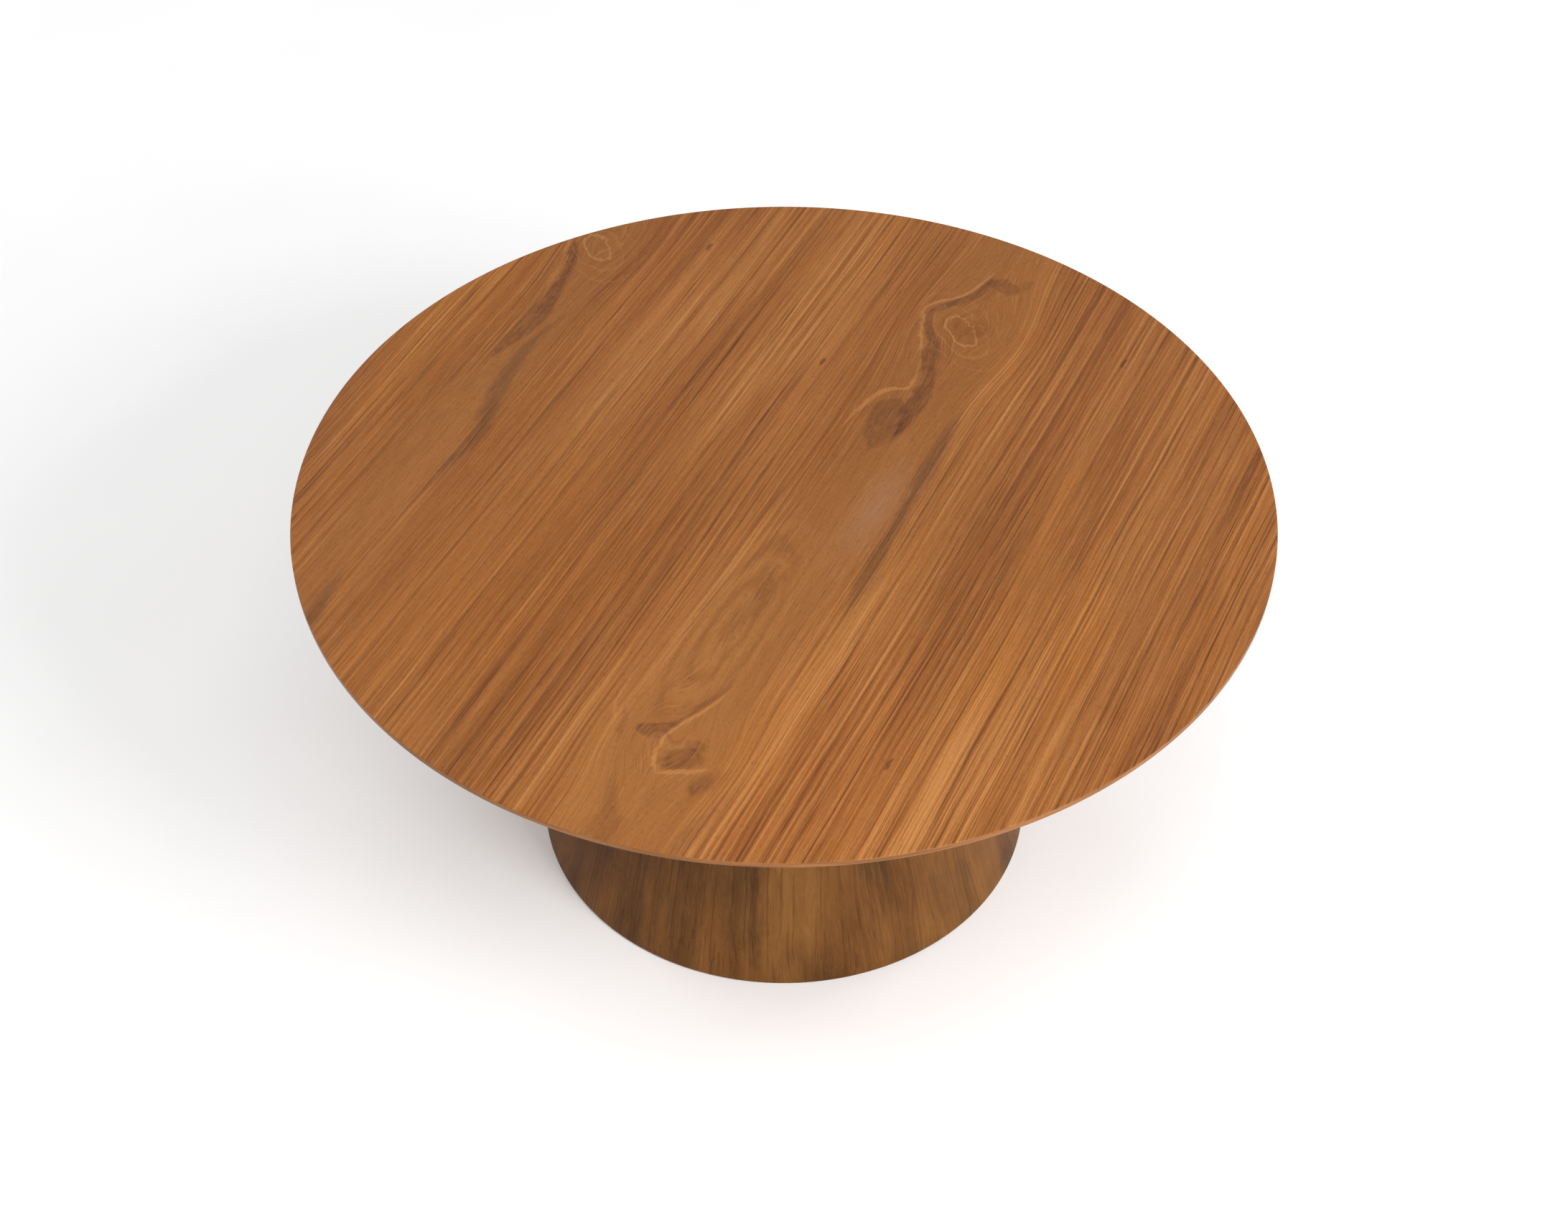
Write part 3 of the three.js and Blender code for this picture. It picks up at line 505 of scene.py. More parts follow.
def fit_screw(node, direction, head, head_height, shank, body, threaded=0.0, slot="zinc_steel",
              material=None):
    """Builds a socket screw over the CAD screw of that name; direction points to its head."""
    low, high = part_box(node)
    middle = (low + high) / 2
    way = Vector(direction)
    reach = abs((high - low).dot(way))
    place = lying_along(way, middle - way * reach / 2)
    mesh = socket_screw(reach - head_height, shank, head, head_height, place, threaded)
    new_piece(f"{node}_fine", mesh, material or bright_zinc, body, slot, node)


# head radius, head height and shank radius of each kind
PLATE_BOLT = (0.009, 0.006, 0.005)
PIVOT_PIN = (0.013, 0.008, 0.008)
NUT_EDGE = 0.0007
for index in range(4):
    fit_screw(f"plate_bolt_{index}", (0, 0, 1), *PLATE_BOLT, "pedestal")

for side, way in zip(SIDES, (-1, 1)):
    fit_screw(f"pivot_pin_{side}", (way, 0, 0), *PIVOT_PIN, "pedestal")
    nut = f"pivot_nut_{side}"
    new_piece(f"{nut}_fine", eased(nut, NUT_EDGE), bright_zinc, "pedestal", "zinc_steel", nut)


# The tilt block and the stop block are solid walnut-stained hardwood, planed, with their
# edges eased by hand. The level top rests on the first and the tipped top on the second.
BLOCK_EDGE = 0.0022
dark_block = planed_wood("stained_block", (0.060, 0.028, 0.012), (0.140, 0.066, 0.028), "X")
for node in ("tilt_block", "stop_block"):
    block = eased(node, BLOCK_EDGE, 3)
    new_piece(f"{node}_eased", block, dark_block, "pedestal", "stained_hardwood", node)

# Rubber buffers: two tall ones stop the tipped top, and two low ones carry it when level.
# Each is a moulded cone frustum with a rounded lip and a hollow for its screw.
black_rubber = moulded("black_rubber", (0.013, 0.013, 0.014), 0.72, 1400.0)
BUFFER_EDGE = 0.0008
BUFFER_LIP = 0.0022
REST_RADIUS, REST_TIP = 0.018, 0.016
STOP_RADIUS, STOP_TIP = 0.017, 0.015


def buffer(node, radius, tip_radius, way, length, foot):
    """A frustum from foot along way, with a screw's hollow down from its tip."""
    hollow = radius * 0.34
    hollow_floor = length * 0.45
    profile = [(0, 0), (radius - BUFFER_EDGE, 0), (radius, BUFFER_EDGE)]
    profile += arc((tip_radius - BUFFER_LIP, length - BUFFER_LIP), BUFFER_LIP, 0, 90)
    profile += [(hollow + BUFFER_EDGE, length), (hollow, length - BUFFER_EDGE)]
    profile += [(hollow, hollow_floor), (0, hollow_floor)]
    mesh = turned(profile, ROUND_STEPS, lying_along(way, foot))
    new_piece(f"{node}_moulded", mesh, black_rubber, "pedestal", "buffer_rubber", node)


tilt_joint = next(j for j in frame["joints"] if j["name"] == "top_tilt")
tilt_limit = math.radians(tilt_joint["range_deg"][1])
outward = Vector((0, -math.sin(tilt_limit), math.cos(tilt_limit)))
for side in SIDES:
    node = f"rest_buffer_{side}"
    low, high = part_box(node)
    middle = (low + high) / 2
    foot = (middle.x, middle.y, low.z)
    buffer(node, REST_RADIUS, REST_TIP, UP, high.z - low.z, foot)
    node = f"stop_buffer_{side}"
    low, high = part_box(node)
    lean = abs(outward.y)
    length = (high.z - low.z - (STOP_RADIUS + STOP_TIP) * lean) / outward.z
    foot = ((low.x + high.x) / 2, high.y - STOP_RADIUS * outward.z, low.z + STOP_RADIUS * lean)
    buffer(node, STOP_RADIUS, STOP_TIP, outward, length, foot)


# Brass: the strike plate on the block and the bracket of the catch, pressed from sheet,
# satin brushed and lacquered.
def satin_brass():
    """Brushed brass, slightly tarnished in patches."""
    finish = Finish("satin_brass", 0.3, metallic=1.0)
    x, y, z = finish.axes()
    brushed = finish.noise(finish.vector(x * 60, y * 60, z * 3000), 1.0, 2.0)
    tarnish = finish.noise(finish.place, 60.0, 5.0, 0.62).ramp(0.5, 0.78)
    colour = finish.blend(brushed, (0.58, 0.40, 0.15), (0.74, 0.55, 0.25))
    finish.feed("Base Color", finish.blend(tarnish * 0.6, colour, (0.30, 0.18, 0.07)))
    finish.feed("Roughness", 0.24 + brushed * 0.16 + tarnish * 0.18)
    finish.bump(brushed, 0.00003)
    return finish.material


brass = satin_brass()
REARWARD = (0, 1, 0)
DOWN = (0, 0, -1)
SHEET_EDGE = 0.0006
STRIKE_SCREW_INSET = 0.008
STRIKE_SCREW_SUNK = 0.0020
STRIKE_SCREW_SHANK = 0.0030
STRIKE_SCREW_HEAD = (0.0034, 0.0011)
BRACKET_SCREW = (0.0045, 0.0024, 0.002)
new_piece("strike_plate_brass", eased("strike_plate", SHEET_EDGE), brass, "pedestal",
          "catch_brass", "strike_plate")
low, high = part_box("strike_plate")
for side, x in zip(SIDES, (low.x + STRIKE_SCREW_INSET, high.x - STRIKE_SCREW_INSET)):
    place = lying_along(REARWARD, (x, high.y - STRIKE_SCREW_SUNK, (low.z + high.z) / 2))
    screw = socket_screw(STRIKE_SCREW_SUNK, STRIKE_SCREW_SHANK, *STRIKE_SCREW_HEAD, place)
    new_piece(f"strike_screw_{side}", screw, brass, "pedestal", "catch_brass")
new_piece("catch_bracket_brass", eased("catch_bracket", SHEET_EDGE), brass, "tabletop",
          "catch_brass", "catch_bracket")
for side in SIDES:
    fit_screw(f"bracket_screw_{side}", DOWN, *BRACKET_SCREW, "tabletop", slot="catch_brass",
              material=brass)

# The catch bolt is turned from steel bar: a stout nose that enters the block, a collar for
# the spring, and a long thin pull rod. The rod ends in a turned wooden knob.
NOSE_RADIUS = 0.007
NOSE_ROUND = 0.0022
ROD_RADIUS = 0.004
ROD_EDGE = 0.0006
COLLAR_LENGTH = 0.004
COLLAR_EDGE = 0.0005
COLLAR_GAP = 0.0003
low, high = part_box("catch_bolt")
spring_low, spring_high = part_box("catch_spring")
axis_x, axis_z = (low.x + high.x) / 2, (low.z + high.z) / 2
collar_radius = (high.x - low.x) / 2
bolt_length = high.y - low.y
collar_end = spring_low.y - low.y - COLLAR_GAP
collar_start = collar_end - COLLAR_LENGTH
profile = [(0, 0), (NOSE_RADIUS - NOSE_ROUND, 0)]
profile += arc((NOSE_RADIUS - NOSE_ROUND, NOSE_ROUND), NOSE_ROUND, -90, 0)
profile += [(NOSE_RADIUS, collar_start), (collar_radius - COLLAR_EDGE, collar_start)]
profile += [(collar_radius, collar_start + COLLAR_EDGE), (collar_radius, collar_end - COLLAR_EDGE)]
profile += [(collar_radius - COLLAR_EDGE, collar_end), (ROD_RADIUS, collar_end)]
profile += [(ROD_RADIUS, bolt_length - ROD_EDGE), (ROD_RADIUS - ROD_EDGE, bolt_length)]
profile += [(0, bolt_length)]
bolt = turned(profile, SCREW_STEPS, lying_along(REARWARD, (axis_x, low.y, axis_z)))
new_piece("catch_bolt_turned", bolt, bright_zinc, "catch", "zinc_steel", "catch_bolt")

KNOB_NECK = [(0, 0), (0.0066, 0), (0.0070, 0.0008), (0.0068, 0.004), (0.0078, 0.0085)]
KNOB_ROUND = 0.0078
KNOB_WIDEST = 0.0205
KNOB_FACE_RADIUS = 0.0065
KNOB_FACE_DROP = 0.0006
low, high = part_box("pull_knob")
knob_radius = (high.x - low.x) / 2
knob_length = high.y - low.y
profile = KNOB_NECK + arc((knob_radius - KNOB_ROUND, KNOB_WIDEST), KNOB_ROUND, -70, 80, 10)
profile += [(KNOB_FACE_RADIUS, knob_length - KNOB_FACE_DROP), (0, knob_length)]
knob = turned(profile, ROUND_STEPS, lying_along(REARWARD, (axis_x, low.y, axis_z)), crisp=50)
knob_wood = planed_wood("turned_knob", (0.075, 0.034, 0.014), (0.170, 0.083, 0.036), "Y")
new_piece("pull_knob_turned", knob, knob_wood, "catch", "stained_hardwood", "pull_knob")

# The catch spring is wound from steel wire between the bolt's collar and the rear ear of the
# bracket. The real spring shortens towards that ear as the knob is pulled; here it is wound at rest
# length only.
WIRE_RADIUS = 0.00095
WIRE_CLEARANCE = 0.0002
COILS = 9
COIL_STEPS = COILS * 24
wire = bmesh.new()
bmesh.ops.create_circle(wire, cap_ends=False, segments=10, radius=WIRE_RADIUS)
coil_radius = (spring_high.x - spring_low.x) / 2 - WIRE_RADIUS
stand = Matrix.Translation((coil_radius, 0, 0)) @ Matrix.Rotation(math.pi / 2, 4, "X")
bmesh.ops.transform(wire, matrix=stand, verts=wire.verts[:])
spring_length = spring_high.y - spring_low.y
coil_length = spring_length - 2 * (WIRE_RADIUS + WIRE_CLEARANCE)
bmesh.ops.spin(
    wire, geom=wire.verts[:] + wire.edges[:], cent=(0, 0, 0), axis=(0, 0, 1),
    dvec=(0, 0, coil_length / COIL_STEPS), angle=2 * math.pi * COILS, steps=COIL_STEPS)
bmesh.ops.holes_fill(wire, edges=[e for e in wire.edges if e.is_boundary], sides=0)
bmesh.ops.recalc_face_normals(wire, faces=wire.faces[:])
smooth_below(wire, 50)
coil_foot = (axis_x, spring_low.y + WIRE_RADIUS + WIRE_CLEARANCE, axis_z)
bmesh.ops.transform(wire, matrix=lying_along(REARWARD, coil_foot), verts=wire.verts[:])
spring = new_piece("catch_spring_wound", wire, bright_zinc, "tabletop", "zinc_steel",
                   "catch_spring")
catch_travel = next(j for j in frame["joints"] if j["name"] == "catch_pull")["range_m"][1]
1 - catch_travel / spring_length
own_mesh(spring)

# Bearers and rails are planed beech, screwed up into the top. Their ends are cut off at a
# slant and their arrises eased. Black steel cheeks carry them on the pivot pins.
BEECH_EDGE = 0.0015
BEECH_DARK, BEECH_LIGHT = (0.36, 0.195, 0.092), (0.50, 0.300, 0.155)
CHEEK_BOLT = (0.0075, 0.0045, 0.004)
BEARER_SCREW = (0.006, 0.004, 0.0025)
BEARER_SCREW_THREAD = 0.03
beech = planed_wood("planed_beech", BEECH_DARK, BEECH_LIGHT, "Y")
beech_across = planed_wood("planed_beech_across", BEECH_DARK, BEECH_LIGHT, "X")
for side in SIDES:
    bearer = eased("bearer_left", BEECH_EDGE)
    if side == "right":
        bmesh.ops.transform(bearer, matrix=Matrix.Scale(-1, 4, (1, 0, 0)), verts=bearer.verts[:])
        bmesh.ops.reverse_faces(bearer, faces=bearer.faces[:])
    node = f"bearer_{side}"
    new_piece(f"{node}_planed", bearer, beech, "tabletop", "beech", node)
    node = f"cheek_plate_{side}"
    cheek = eased(node, SHEET_EDGE)
    new_piece(f"{node}_coated", cheek, black_steel, "tabletop", "black_steel", node)
for node in ("front_rail", "rear_rail"):
    new_piece(f"{node}_planed", eased(node, BEECH_EDGE), beech_across, "tabletop", "beech", node)
for side, way in zip(SIDES, (-1, 1)):
    for index in range(2):
        fit_screw(f"cheek_bolt_{side}_{index}", (-way, 0, 0), *CHEEK_BOLT, "tabletop")
    for index in range(3):
        fit_screw(f"bearer_screw_{side}_{index}", DOWN, *BEARER_SCREW, "tabletop",
                  threaded=BEARER_SCREW_THREAD)

# The top is faced with one wide leaf of walnut, its grain on the slant. Two big knots and
# a swirl break the straight lines, and dark mineral streaks run off them along the grain.
GRAIN = math.radians(65.4)


def bell(s, t, s0, t0, reach_s, reach_t):
    """1 at a place and falling to 0 round it, and how far across it is in its own reach."""
    ds, dt = (s - s0) / reach_s, (t - t0) / reach_t
    return ((ds * ds + dt * dt) * -1.0).maths("EXPONENT"), dt


def ribbon(finish, s, t, points):
    """How far inside a soft-edged line a place is. Points are (s, t, half width) in metres."""
    first, last = points[0][0], points[-1][0]
    reach = (s - first) / (last - first)

    def curve(which):
        stops = [((point[0] - first) / (last - first), point[which]) for point in points]
        return finish.node("FloatCurve", {"curve": stops}, {1: reach})

    return curve(2) - (t - curve(1)).maths("ABSOLUTE")


def top_walnut(name, figured=True):
    """Walnut seen flat. Straight lines of growth part round the knots, in the grain's axes."""
    finish = Finish(name, 0.42, shine=0.22)
    x, y, _ = finish.axes()
    s = x * math.cos(GRAIN) + y * math.sin(GRAIN)
    t = x * math.sin(GRAIN) - y * math.cos(GRAIN)
    wander = finish.noise(finish.vector(s * 22.0, t * 26.0), 1.0, 2.0) - 0.5
    ragged = finish.noise(finish.vector(s * 75.0, t * 110.0, 7.0), 1.0, 2.0) - 0.5
    sway = finish.noise(finish.vector(s * 1.4, t * 2.5), 1.0, 2.0) - 0.5
    quiver = finish.noise(finish.vector(s * 10.0, t * 40.0, 4.0), 1.0, 2.0) - 0.5
    growth = t + sway * 0.016 + quiver * 0.0020

    # knots: middle along and across the grain, reach along and across, and how far they
    # push the lines apart
    knots = [(0.530, 0.120, 0.130, 0.080, 1.10), (0.500, -0.580, 0.120, 0.060, 1.05),
             (-0.590, 0.085, 0.085, 0.070, 1.10), (-0.430, 0.050, 0.160, 0.050, 0.80)]
    if figured:
        quiet = s * 0.0
        for s0, t0, reach_s, reach_t, push in knots:
            near, dt = bell(s, t, s0, t0, reach_s, reach_t)
            growth = growth - near * dt * (reach_t * push)
            quiet = quiet.maths("MAXIMUM", near)
        # two smooth columns of wood run the length of the leaf through the knots
        heart = ribbon(finish, s, t + sway * 0.05, [
            (0.800, 0.110, 0.075), (0.550, 0.115, 0.095), (0.300, 0.105, 0.085),
            (0.100, 0.115, 0.080), (-0.100, 0.110, 0.080), (-0.350, 0.085, 0.090),
            (-0.600, 0.090, 0.110), (-0.800, 0.100, 0.090)])
        flank = ribbon(finish, s, t + sway * 0.05, [
            (0.650, -0.570, 0.050), (0.450, -0.580, 0.055), (0.200, -0.560, 0.045),
            (0.000, -0.590, 0.050), (-0.200, -0.600, 0.050), (-0.450, -0.600, 0.020)])
        smooth = heart.maths("MAXIMUM", flank).ramp(-0.030, 0.040)
        quiet = quiet.maths("MAXIMUM", smooth * 0.85)

    def along(across, fine, slow, detail=2.0, roughness=0.5):
        return finish.noise(finish.vector(across * fine, s * slow), 1.0, detail, roughness)

    broad = along(growth, 6.5, 0.8)
    bands = along(growth, 44.0, 0.6, 4.0, 0.74)
    lines = along(growth, 185.0, 0.9, 3.0, 0.6)
    hair = along(growth, 520.0, 4.0, 2.0)
    seams = (along(growth, 64.0, 0.45, 1.0) - 0.5).maths("ABSOLUTE")
    fibre = along(growth, 1000.0, 18.0, 2.0)
    pores = finish.noise(finish.vector(t * 1300.0, s * 85.0), 1.0, 1.0).ramp(0.58, 0.68)

    patchy = finish.noise(finish.vector(growth * 16.0, s * 1.1, 9.0), 1.0, 2.0)
    stripy = (0.64 + t.ramp(0.15, 0.40) * 0.12) * (0.35 + patchy * 1.4)
    if figured:
        # the lines are also calm towards one end of the leaf, left of the lower knot
        calm, _ = bell(s, t, -0.420, -0.420, 0.330, 0.190)
        stripy = stripy * (1.0 - quiet.ramp(0.20, 0.85) * 0.72) * (1.0 - calm * 0.55)
    tone = (broad - 0.5) * 0.58 + (bands - 0.5) * 0.48 * stripy + (lines - 0.5) * 1.05 * stripy
    tone = tone + 0.49 + (hair - 0.5) * 0.62 * (stripy + 0.25)
    colour = finish.node("ValToRGB", {"stops": [
        (0.24, (0.142, 0.042, 0.0070)), (0.42, (0.222, 0.072, 0.0125)),
        (0.58, (0.292, 0.105, 0.0220)), (0.78, (0.400, 0.168, 0.0450))]}, {0: tone})
    warmth = finish.noise(finish.vector(growth * 5.0, s * 1.3, 3.0), 1.0, 2.0)
    colour = finish.blend(warmth.ramp(0.50, 0.66) * 0.55, colour, (1.08, 1.02, 0.72), "MULTIPLY")
    colour = finish.blend(warmth.ramp(0.48, 0.34) * 0.28, colour, (1.00, 0.86, 0.90), "MULTIPLY")
    fading = along(growth, 25.0, 1.6, 2.0).ramp(0.40, 0.60)
    colour = finish.blend(
        seams.ramp(0.020, 0.004) * fading * stripy * 0.80, colour, (0.40, 0.34, 0.32), "MULTIPLY")
    colour = finish.blend(
        lines.ramp(0.45, 0.30) * stripy * 0.70, colour, (0.52, 0.46, 0.42), "MULTIPLY")
    colour = finish.blend(lines.ramp(0.58, 0.72) * stripy * 0.50, colour, (0.420, 0.185, 0.062))

    if figured:
        # a painted sheen brightens the top towards its front, beside the lower knot, and the leaf
        # is darkest across its middle
        painted_front_sheen, _ = bell(s, t, -0.600, 0.280, 0.300, 0.260)
        colour = finish.blend(painted_front_sheen * 0.60, colour, (1.20, 1.22, 1.20), "MULTIPLY")
        shade, _ = bell(s, t, 0.020, 0.330, 0.180, 0.090)
        colour = finish.blend(shade * 0.55, colour, (0.78, 0.76, 0.74), "MULTIPLY")
        bent_s = s + wander * 0.020 + ragged * 0.009
        bent_t = t + wander * 0.012 + ragged * 0.007
        # flame figure: long closed rings, one inside another, that pinch in at the lower knot
        ds, dt = (bent_s + 0.330) / 0.260, (bent_t - 0.058) / 0.062
        flame = (ds * ds + dt * dt).maths("SQRT")
        within = flame.ramp(1.25, 0.75)
        rings = ((flame * 2.7 + wander * 0.8 + ragged * 0.2) * (2 * math.pi)).maths("SINE")
        colour = finish.blend(
            rings.ramp(0.1, 1.0) * within * (0.20 + patchy * 0.6), colour, (0.66, 0.60, 0.56),
            "MULTIPLY")
        colour = finish.blend(rings.ramp(-0.3, -1.0) * within * 0.22, colour, (0.400, 0.175, 0.045))
        colour = finish.blend(smooth * 0.38, colour, (0.238, 0.092, 0.022))
        # a painted highlight: a pale grey haze near the middle of the top
        painted_haze_highlight, _ = bell(bent_s, bent_t, 0.020, 0.155, 0.110, 0.030)
        colour = finish.blend(painted_haze_highlight * 0.38, colour, (0.300, 0.160, 0.085))

        # dark mineral streaks, then the pale lines that edge them: points, strength, softness
        dark = [
            ([(0.690, 0.099, -0.002), (0.668, 0.101, 0.006), (0.620, 0.090, 0.010),
              (0.580, 0.064, 0.011), (0.553, 0.044, 0.008), (0.530, 0.040, 0.007),
              (0.500, 0.054, 0.009), (0.460, 0.077, 0.010), (0.420, 0.085, 0.014),
              (0.380, 0.100, 0.012), (0.330, 0.110, 0.014), (0.290, 0.113, 0.016),
              (0.260, 0.112, 0.014), (0.230, 0.114, 0.008), (0.190, 0.114, -0.006)], 0.80, 0.004),
            ([(0.300, 0.085, -0.006), (0.278, 0.080, 0.024), (0.240, 0.084, 0.036),
              (0.200, 0.088, 0.030), (0.130, 0.085, -0.020)], 0.62, 0.008),
            ([(0.690, 0.125, -0.004), (0.672, 0.128, 0.026), (0.655, 0.135, 0.022),
              (0.640, 0.140, -0.004)], 0.60, 0.006),
            ([(0.710, 0.172, -0.004), (0.690, 0.166, 0.010), (0.655, 0.158, -0.002)], 0.40, 0.006),
            ([(0.480, -0.640, -0.002), (0.455, -0.628, 0.007), (0.425, -0.616, 0.011),
              (0.380, -0.605, 0.009), (0.320, -0.595, 0.010), (0.250, -0.587, 0.015),
              (0.200, -0.590, 0.013), (0.140, -0.602, 0.008), (0.100, -0.604, -0.004)],
             0.85, 0.005),
            ([(-0.420, 0.112, -0.001), (-0.460, 0.110, 0.004), (-0.500, 0.092, 0.006),
              (-0.550, 0.071, 0.008), (-0.565, 0.055, 0.024), (-0.580, 0.048, 0.022),
              (-0.594, 0.052, -0.002)], 0.75, 0.005),
            ([(-0.575, 0.125, -0.008), (-0.600, 0.118, 0.028), (-0.616, 0.112, 0.022),
              (-0.640, 0.100, -0.004)], 0.68, 0.009),
            ([(-0.590, 0.195, -0.006), (-0.620, 0.178, 0.010), (-0.650, 0.165, 0.012),
              (-0.680, 0.160, -0.004)], 0.40, 0.012),
            ([(-0.560, 0.125, -0.004), (-0.575, 0.122, 0.018), (-0.590, 0.120, -0.002)],
             0.40, 0.006),
            ([(-0.615, 0.165, -0.004), (-0.640, 0.160, 0.014), (-0.670, 0.158, -0.004)],
             0.45, 0.008),
            ([(-0.540, -0.012, -0.003), (-0.580, 0.000, 0.005), (-0.620, 0.016, -0.003)],
             0.50, 0.005),
            ([(-0.650, 0.030, -0.002), (-0.700, 0.047, 0.007), (-0.760, 0.072, 0.022)],
             0.50, 0.008),
            ([(-0.600, 0.214, -0.004), (-0.680, 0.203, 0.009), (-0.770, 0.184, 0.014)],
             0.40, 0.008)]
        worn = 0.60 + (hair - 0.5) * 1.6 + (wander + ragged) * 0.8
        for points, strength, softness in dark:
            inside = ribbon(finish, bent_s, bent_t, points)
            colour = finish.blend(
                inside.ramp(-softness, softness) * worn * (strength * 1.35), colour,
                (0.50, 0.44, 0.54), "MULTIPLY")
        pale = [
            ([(0.705, 0.096, -0.001), (0.660, 0.091, 0.003), (0.600, 0.064, 0.003),
              (0.585, 0.046, 0.004), (0.550, 0.026, 0.002), (0.500, 0.038, 0.002),
              (0.450, 0.060, 0.003), (0.430, 0.062, -0.001)], 0.75),
            ([(0.405, 0.074, -0.001), (0.350, 0.083, 0.003), (0.325, 0.080, 0.005),
              (0.313, 0.058, 0.008), (0.295, 0.044, 0.005), (0.250, 0.031, 0.004),
              (0.180, 0.020, -0.001)], 0.65),
            ([(0.490, -0.655, -0.001), (0.460, -0.642, 0.003), (0.425, -0.632, -0.001)], 0.60),
            ([(0.425, -0.636, -0.001), (0.370, -0.622, 0.003), (0.300, -0.611, -0.001)], 0.45),
            ([(-0.440, 0.122, -0.001), (-0.510, 0.099, 0.003), (-0.550, 0.080, 0.003),
              (-0.600, 0.070, 0.003), (-0.635, 0.082, 0.004), (-0.646, 0.092, -0.001)], 0.85),
            ([(-0.612, 0.158, -0.001), (-0.626, 0.135, 0.010), (-0.640, 0.108, 0.010),
              (-0.650, 0.092, -0.001)], 0.60),
            ([(-0.430, -0.028, -0.001), (-0.520, -0.029, 0.002), (-0.550, -0.024, 0.002),
              (-0.600, -0.002, -0.001)], 0.55)]
        for points, strength in pale:
            inside = ribbon(finish, bent_s, bent_t, points)
            colour = finish.blend(
                inside.ramp(-0.003, 0.003) * (strength * 0.75), colour, (0.420, 0.180, 0.052))
        smoke = [
            ([(0.330, 0.190, -0.010), (0.240, 0.192, 0.010), (0.120, 0.196, 0.013),
              (0.000, 0.200, 0.010), (-0.130, 0.205, 0.014), (-0.280, 0.212, -0.010)], 0.80),
            ([(0.300, -0.530, -0.008), (0.200, -0.560, 0.006), (0.120, -0.562, 0.012),
              (0.000, -0.546, 0.016), (-0.090, -0.524, 0.011), (-0.180, -0.532, 0.006),
              (-0.320, -0.540, -0.008)], 0.80),
            ([(-0.160, 0.085, -0.010), (-0.250, 0.075, 0.020), (-0.380, 0.060, -0.012)], 0.25),
            ([(-0.420, -0.560, -0.010), (-0.500, -0.552, 0.008), (-0.560, -0.545, 0.016),
              (-0.620, -0.540, 0.014)], 0.85)]
        for points, strength in smoke:
            inside = ribbon(finish, bent_s, bent_t, points)
            colour = finish.blend(
                inside.ramp(-0.010, 0.012) * (strength + bands - 0.5), colour,
                (0.54, 0.54, 0.66), "MULTIPLY")

        # closed growth rings at the two eyes: middle, then half length and half width
        eyes = [(0.512, 0.107, 0.043, 0.023), (0.468, -0.588, 0.040, 0.023)]
        for s0, t0, long_half, wide_half in eyes:
            ds, dt = bent_s - s0, bent_t - t0
            u = (dt - ds) * (0.7071 / long_half)
            v = (dt + ds) * (0.7071 / wide_half)
            ring = (u * u + v * v).maths("SQRT")
            colour = finish.blend(
                ring.ramp(1.0, 0.3) * 0.14, colour, (0.66, 0.62, 0.64), "MULTIPLY")
            for size, strength in ((1.0, 0.42), (1.8, 0.18), (2.7, 0.10)):
                edge = (ring + ragged * 0.5 - size).maths("ABSOLUTE").ramp(0.12, 0.02)
                colour = finish.blend(edge * strength, colour, (0.440, 0.200, 0.070))
        pins = [(0.551, -0.406), (0.333, -0.080), (0.547, 0.397), (-0.493, 0.393)]
        for s0, t0 in pins:
            ds, dt = (bent_s - s0) / 0.013, (bent_t - t0) / 0.0038
            spot = (ds * ds + dt * dt).ramp(1.3, 0.3)
            colour = finish.blend(spot * 0.75, colour, (0.34, 0.30, 0.30), "MULTIPLY")

    colour = finish.blend(fibre.ramp(0.50, 0.32) * 0.40, colour, (0.62, 0.57, 0.54), "MULTIPLY")
    colour = finish.blend(fibre.ramp(0.54, 0.70) * 0.25, colour, (0.400, 0.190, 0.075))
    colour = finish.blend(pores * 0.55, colour, (0.52, 0.47, 0.44), "MULTIPLY")
    finish.feed("Base Color", colour)
    finish.feed("Roughness", 0.38 + fibre * 0.12 + pores * 0.15)
    finish.bump(lines * 0.35 + fibre * 0.45 - pores * 0.7, 0.00006)
    return finish.material


TOP_STEPS = 384
ARRIS = 0.0007
low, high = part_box("top_veneer")
top_radius, top_z = high.x, high.z
profile = [(0, low.z), (top_radius, low.z)]
profile += arc((top_radius - ARRIS, top_z - ARRIS), ARRIS, 0, 90, 3)
profile += [(top_radius - 4 * ARRIS, top_z), (0, top_z)]
face = turned(profile, TOP_STEPS, crisp=50)
figured_walnut = top_walnut("top_walnut")
new_piece("top_face_leaf", face, figured_walnut, "tabletop", "top_walnut", "top_veneer")


# The edge is solid walnut, turned to a thin upright band with a long bevel under it.
# A plain walnut leaf balances the top underneath.
def edge_walnut():
    """Walnut lipping: streaks that follow the rim round."""
    finish = Finish("edge_walnut", 0.38, shine=0.12)
    x, y, z = finish.axes()
    radius = (x * x + y * y).maths("SQRT")
    around_x, around_y = x / radius, y / radius
    depth = z + radius * 0.6
    bands = finish.noise(finish.vector(around_x * 5, around_y * 5, depth * 140), 1.0, 3.0, 0.6)
    lines = finish.noise(finish.vector(around_x * 12, around_y * 12, depth * 700), 1.0, 3.0, 0.6)
    fibre = finish.noise(finish.vector(around_x * 90, around_y * 90, depth * 2400), 1.0, 2.0)
    colour = finish.blend(bands.ramp(0.3, 0.7), (0.215, 0.082, 0.022), (0.330, 0.140, 0.043))
    colour = finish.blend(lines.ramp(0.52, 0.34) * 0.4, colour, (0.130, 0.046, 0.014))
    colour = finish.blend(fibre.ramp(0.5, 0.3) * 0.25, colour, (0.120, 0.042, 0.015))
    finish.feed("Base Color", colour)
    finish.feed("Roughness", 0.30 + fibre * 0.14)
    finish.bump(lines * 0.4 + fibre * 0.6, 0.00006)
    return finish.material


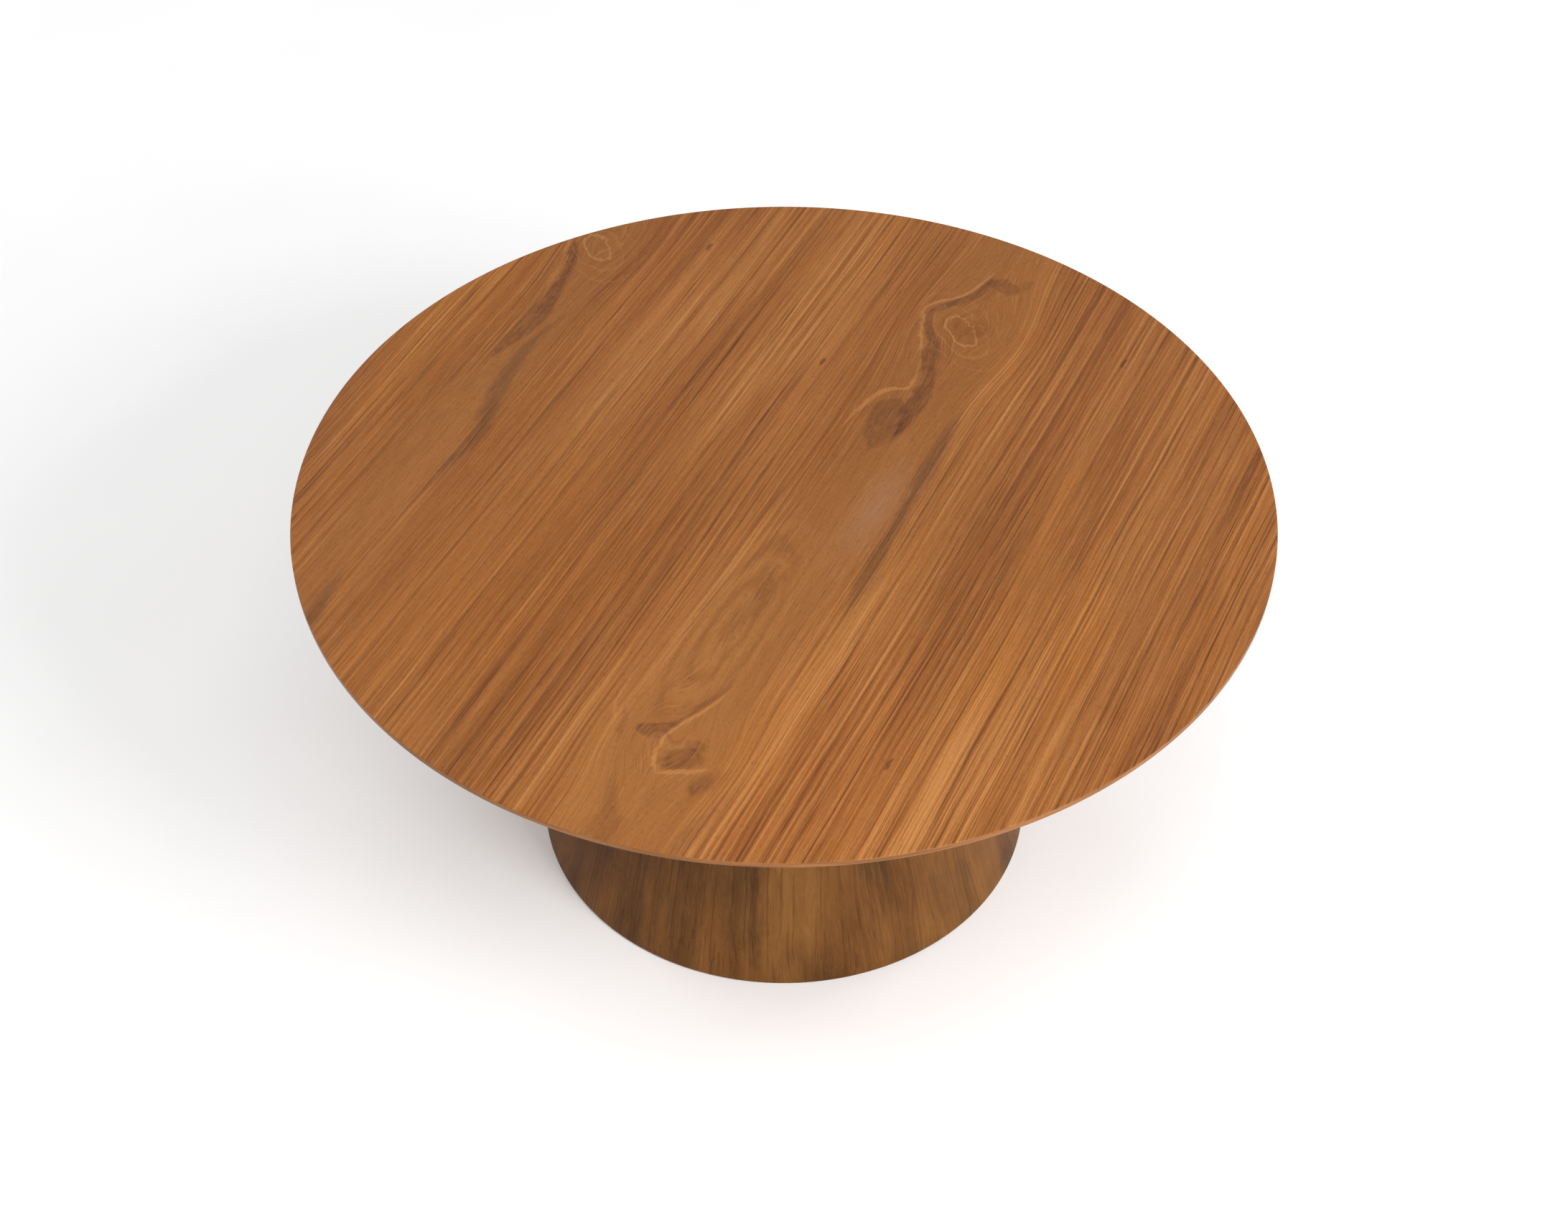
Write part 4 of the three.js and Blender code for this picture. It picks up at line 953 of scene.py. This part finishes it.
BAND_HEIGHT = 0.011
BAND_ROUND = 0.0022
BAND_EDGE = 0.0015
BEVEL_LOOP = 0.0045
GLUE_LINE = 0.0003
veneer_low = low.z
low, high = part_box("edge_lipping")
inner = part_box("top_core")[1].x + GLUE_LINE
band_low = top_z - BAND_HEIGHT
slope = math.atan2(band_low - low.z, high.x - BAND_EDGE - inner)
profile = [(inner, low.z)]
profile += [(high.x - BAND_EDGE - BEVEL_LOOP, band_low - BEVEL_LOOP * math.tan(slope))]
profile += arc((high.x - BAND_ROUND, band_low + BAND_ROUND), BAND_ROUND,
               math.degrees(slope) - 90, 0)
profile += [(high.x, veneer_low), (inner, veneer_low), (inner, low.z)]
lipping = turned(profile, TOP_STEPS, crisp=50)
new_piece("edge_band", lipping, edge_walnut(), "tabletop", "top_walnut", "edge_lipping")

low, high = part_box("backing_veneer")
profile = [(0, low.z), (high.x, low.z), (high.x, high.z), (0, high.z)]
backing = turned(profile, TOP_STEPS)
plain_walnut = top_walnut("backing_walnut", figured=False)
new_piece("backing_leaf", backing, plain_walnut, "tabletop", "top_walnut", "backing_veneer")

# The room: a plain white floor with soft daylight-coloured lights, the main one in front
# and to the right.
floor_mesh = bmesh.new()
bmesh.ops.create_grid(floor_mesh, x_segments=1, y_segments=1, size=30)
floor_data = bpy.data.meshes.new("floor")
floor_mesh.to_mesh(floor_data)
floor_mesh.free()
floor = bpy.data.objects.new("floor", floor_data)
floor_finish = Finish("floor_paint", 0.9)
tint = floor_finish.noise(floor_finish.place, 3.0, 2.0)
floor_finish.feed("Base Color", floor_finish.blend(tint, (0.88, 0.88, 0.88), (0.92, 0.92, 0.92)))
floor_data.materials.append(floor_finish.material)
bpy.context.scene.collection.objects.link(floor)

world = bpy.data.worlds.new("studio")
world.use_nodes = True
world.node_tree.nodes["Background"].inputs["Color"].default_value = (1, 1, 1, 1)
world.node_tree.nodes["Background"].inputs["Strength"].default_value = 0.55
bpy.context.scene.world = world
bpy.context.scene.view_settings.view_transform = "Standard"


def soft_light(name, place, width, watts):
    """A square soft box that faces the middle of the table."""
    data = bpy.data.lights.new(name, "AREA")
    data.size = width
    data.energy = watts
    lamp = bpy.data.objects.new(name, data)
    lamp.location = place
    lamp.rotation_euler = (Vector((0, 0, 0.5)) - Vector(place)).to_track_quat("-Z", "Y").to_euler()
    bpy.context.scene.collection.objects.link(lamp)


soft_light("key", (4.0, -3.6, 4.0), 2.5, 320)
soft_light("fill", (-0.7, -2.4, 4.3), 3.0, 82)
soft_light("back left", (-5.0, 4.5, 4.0), 3.0, 110)
soft_light("back right", (5.0, 4.5, 4.0), 3.0, 110)
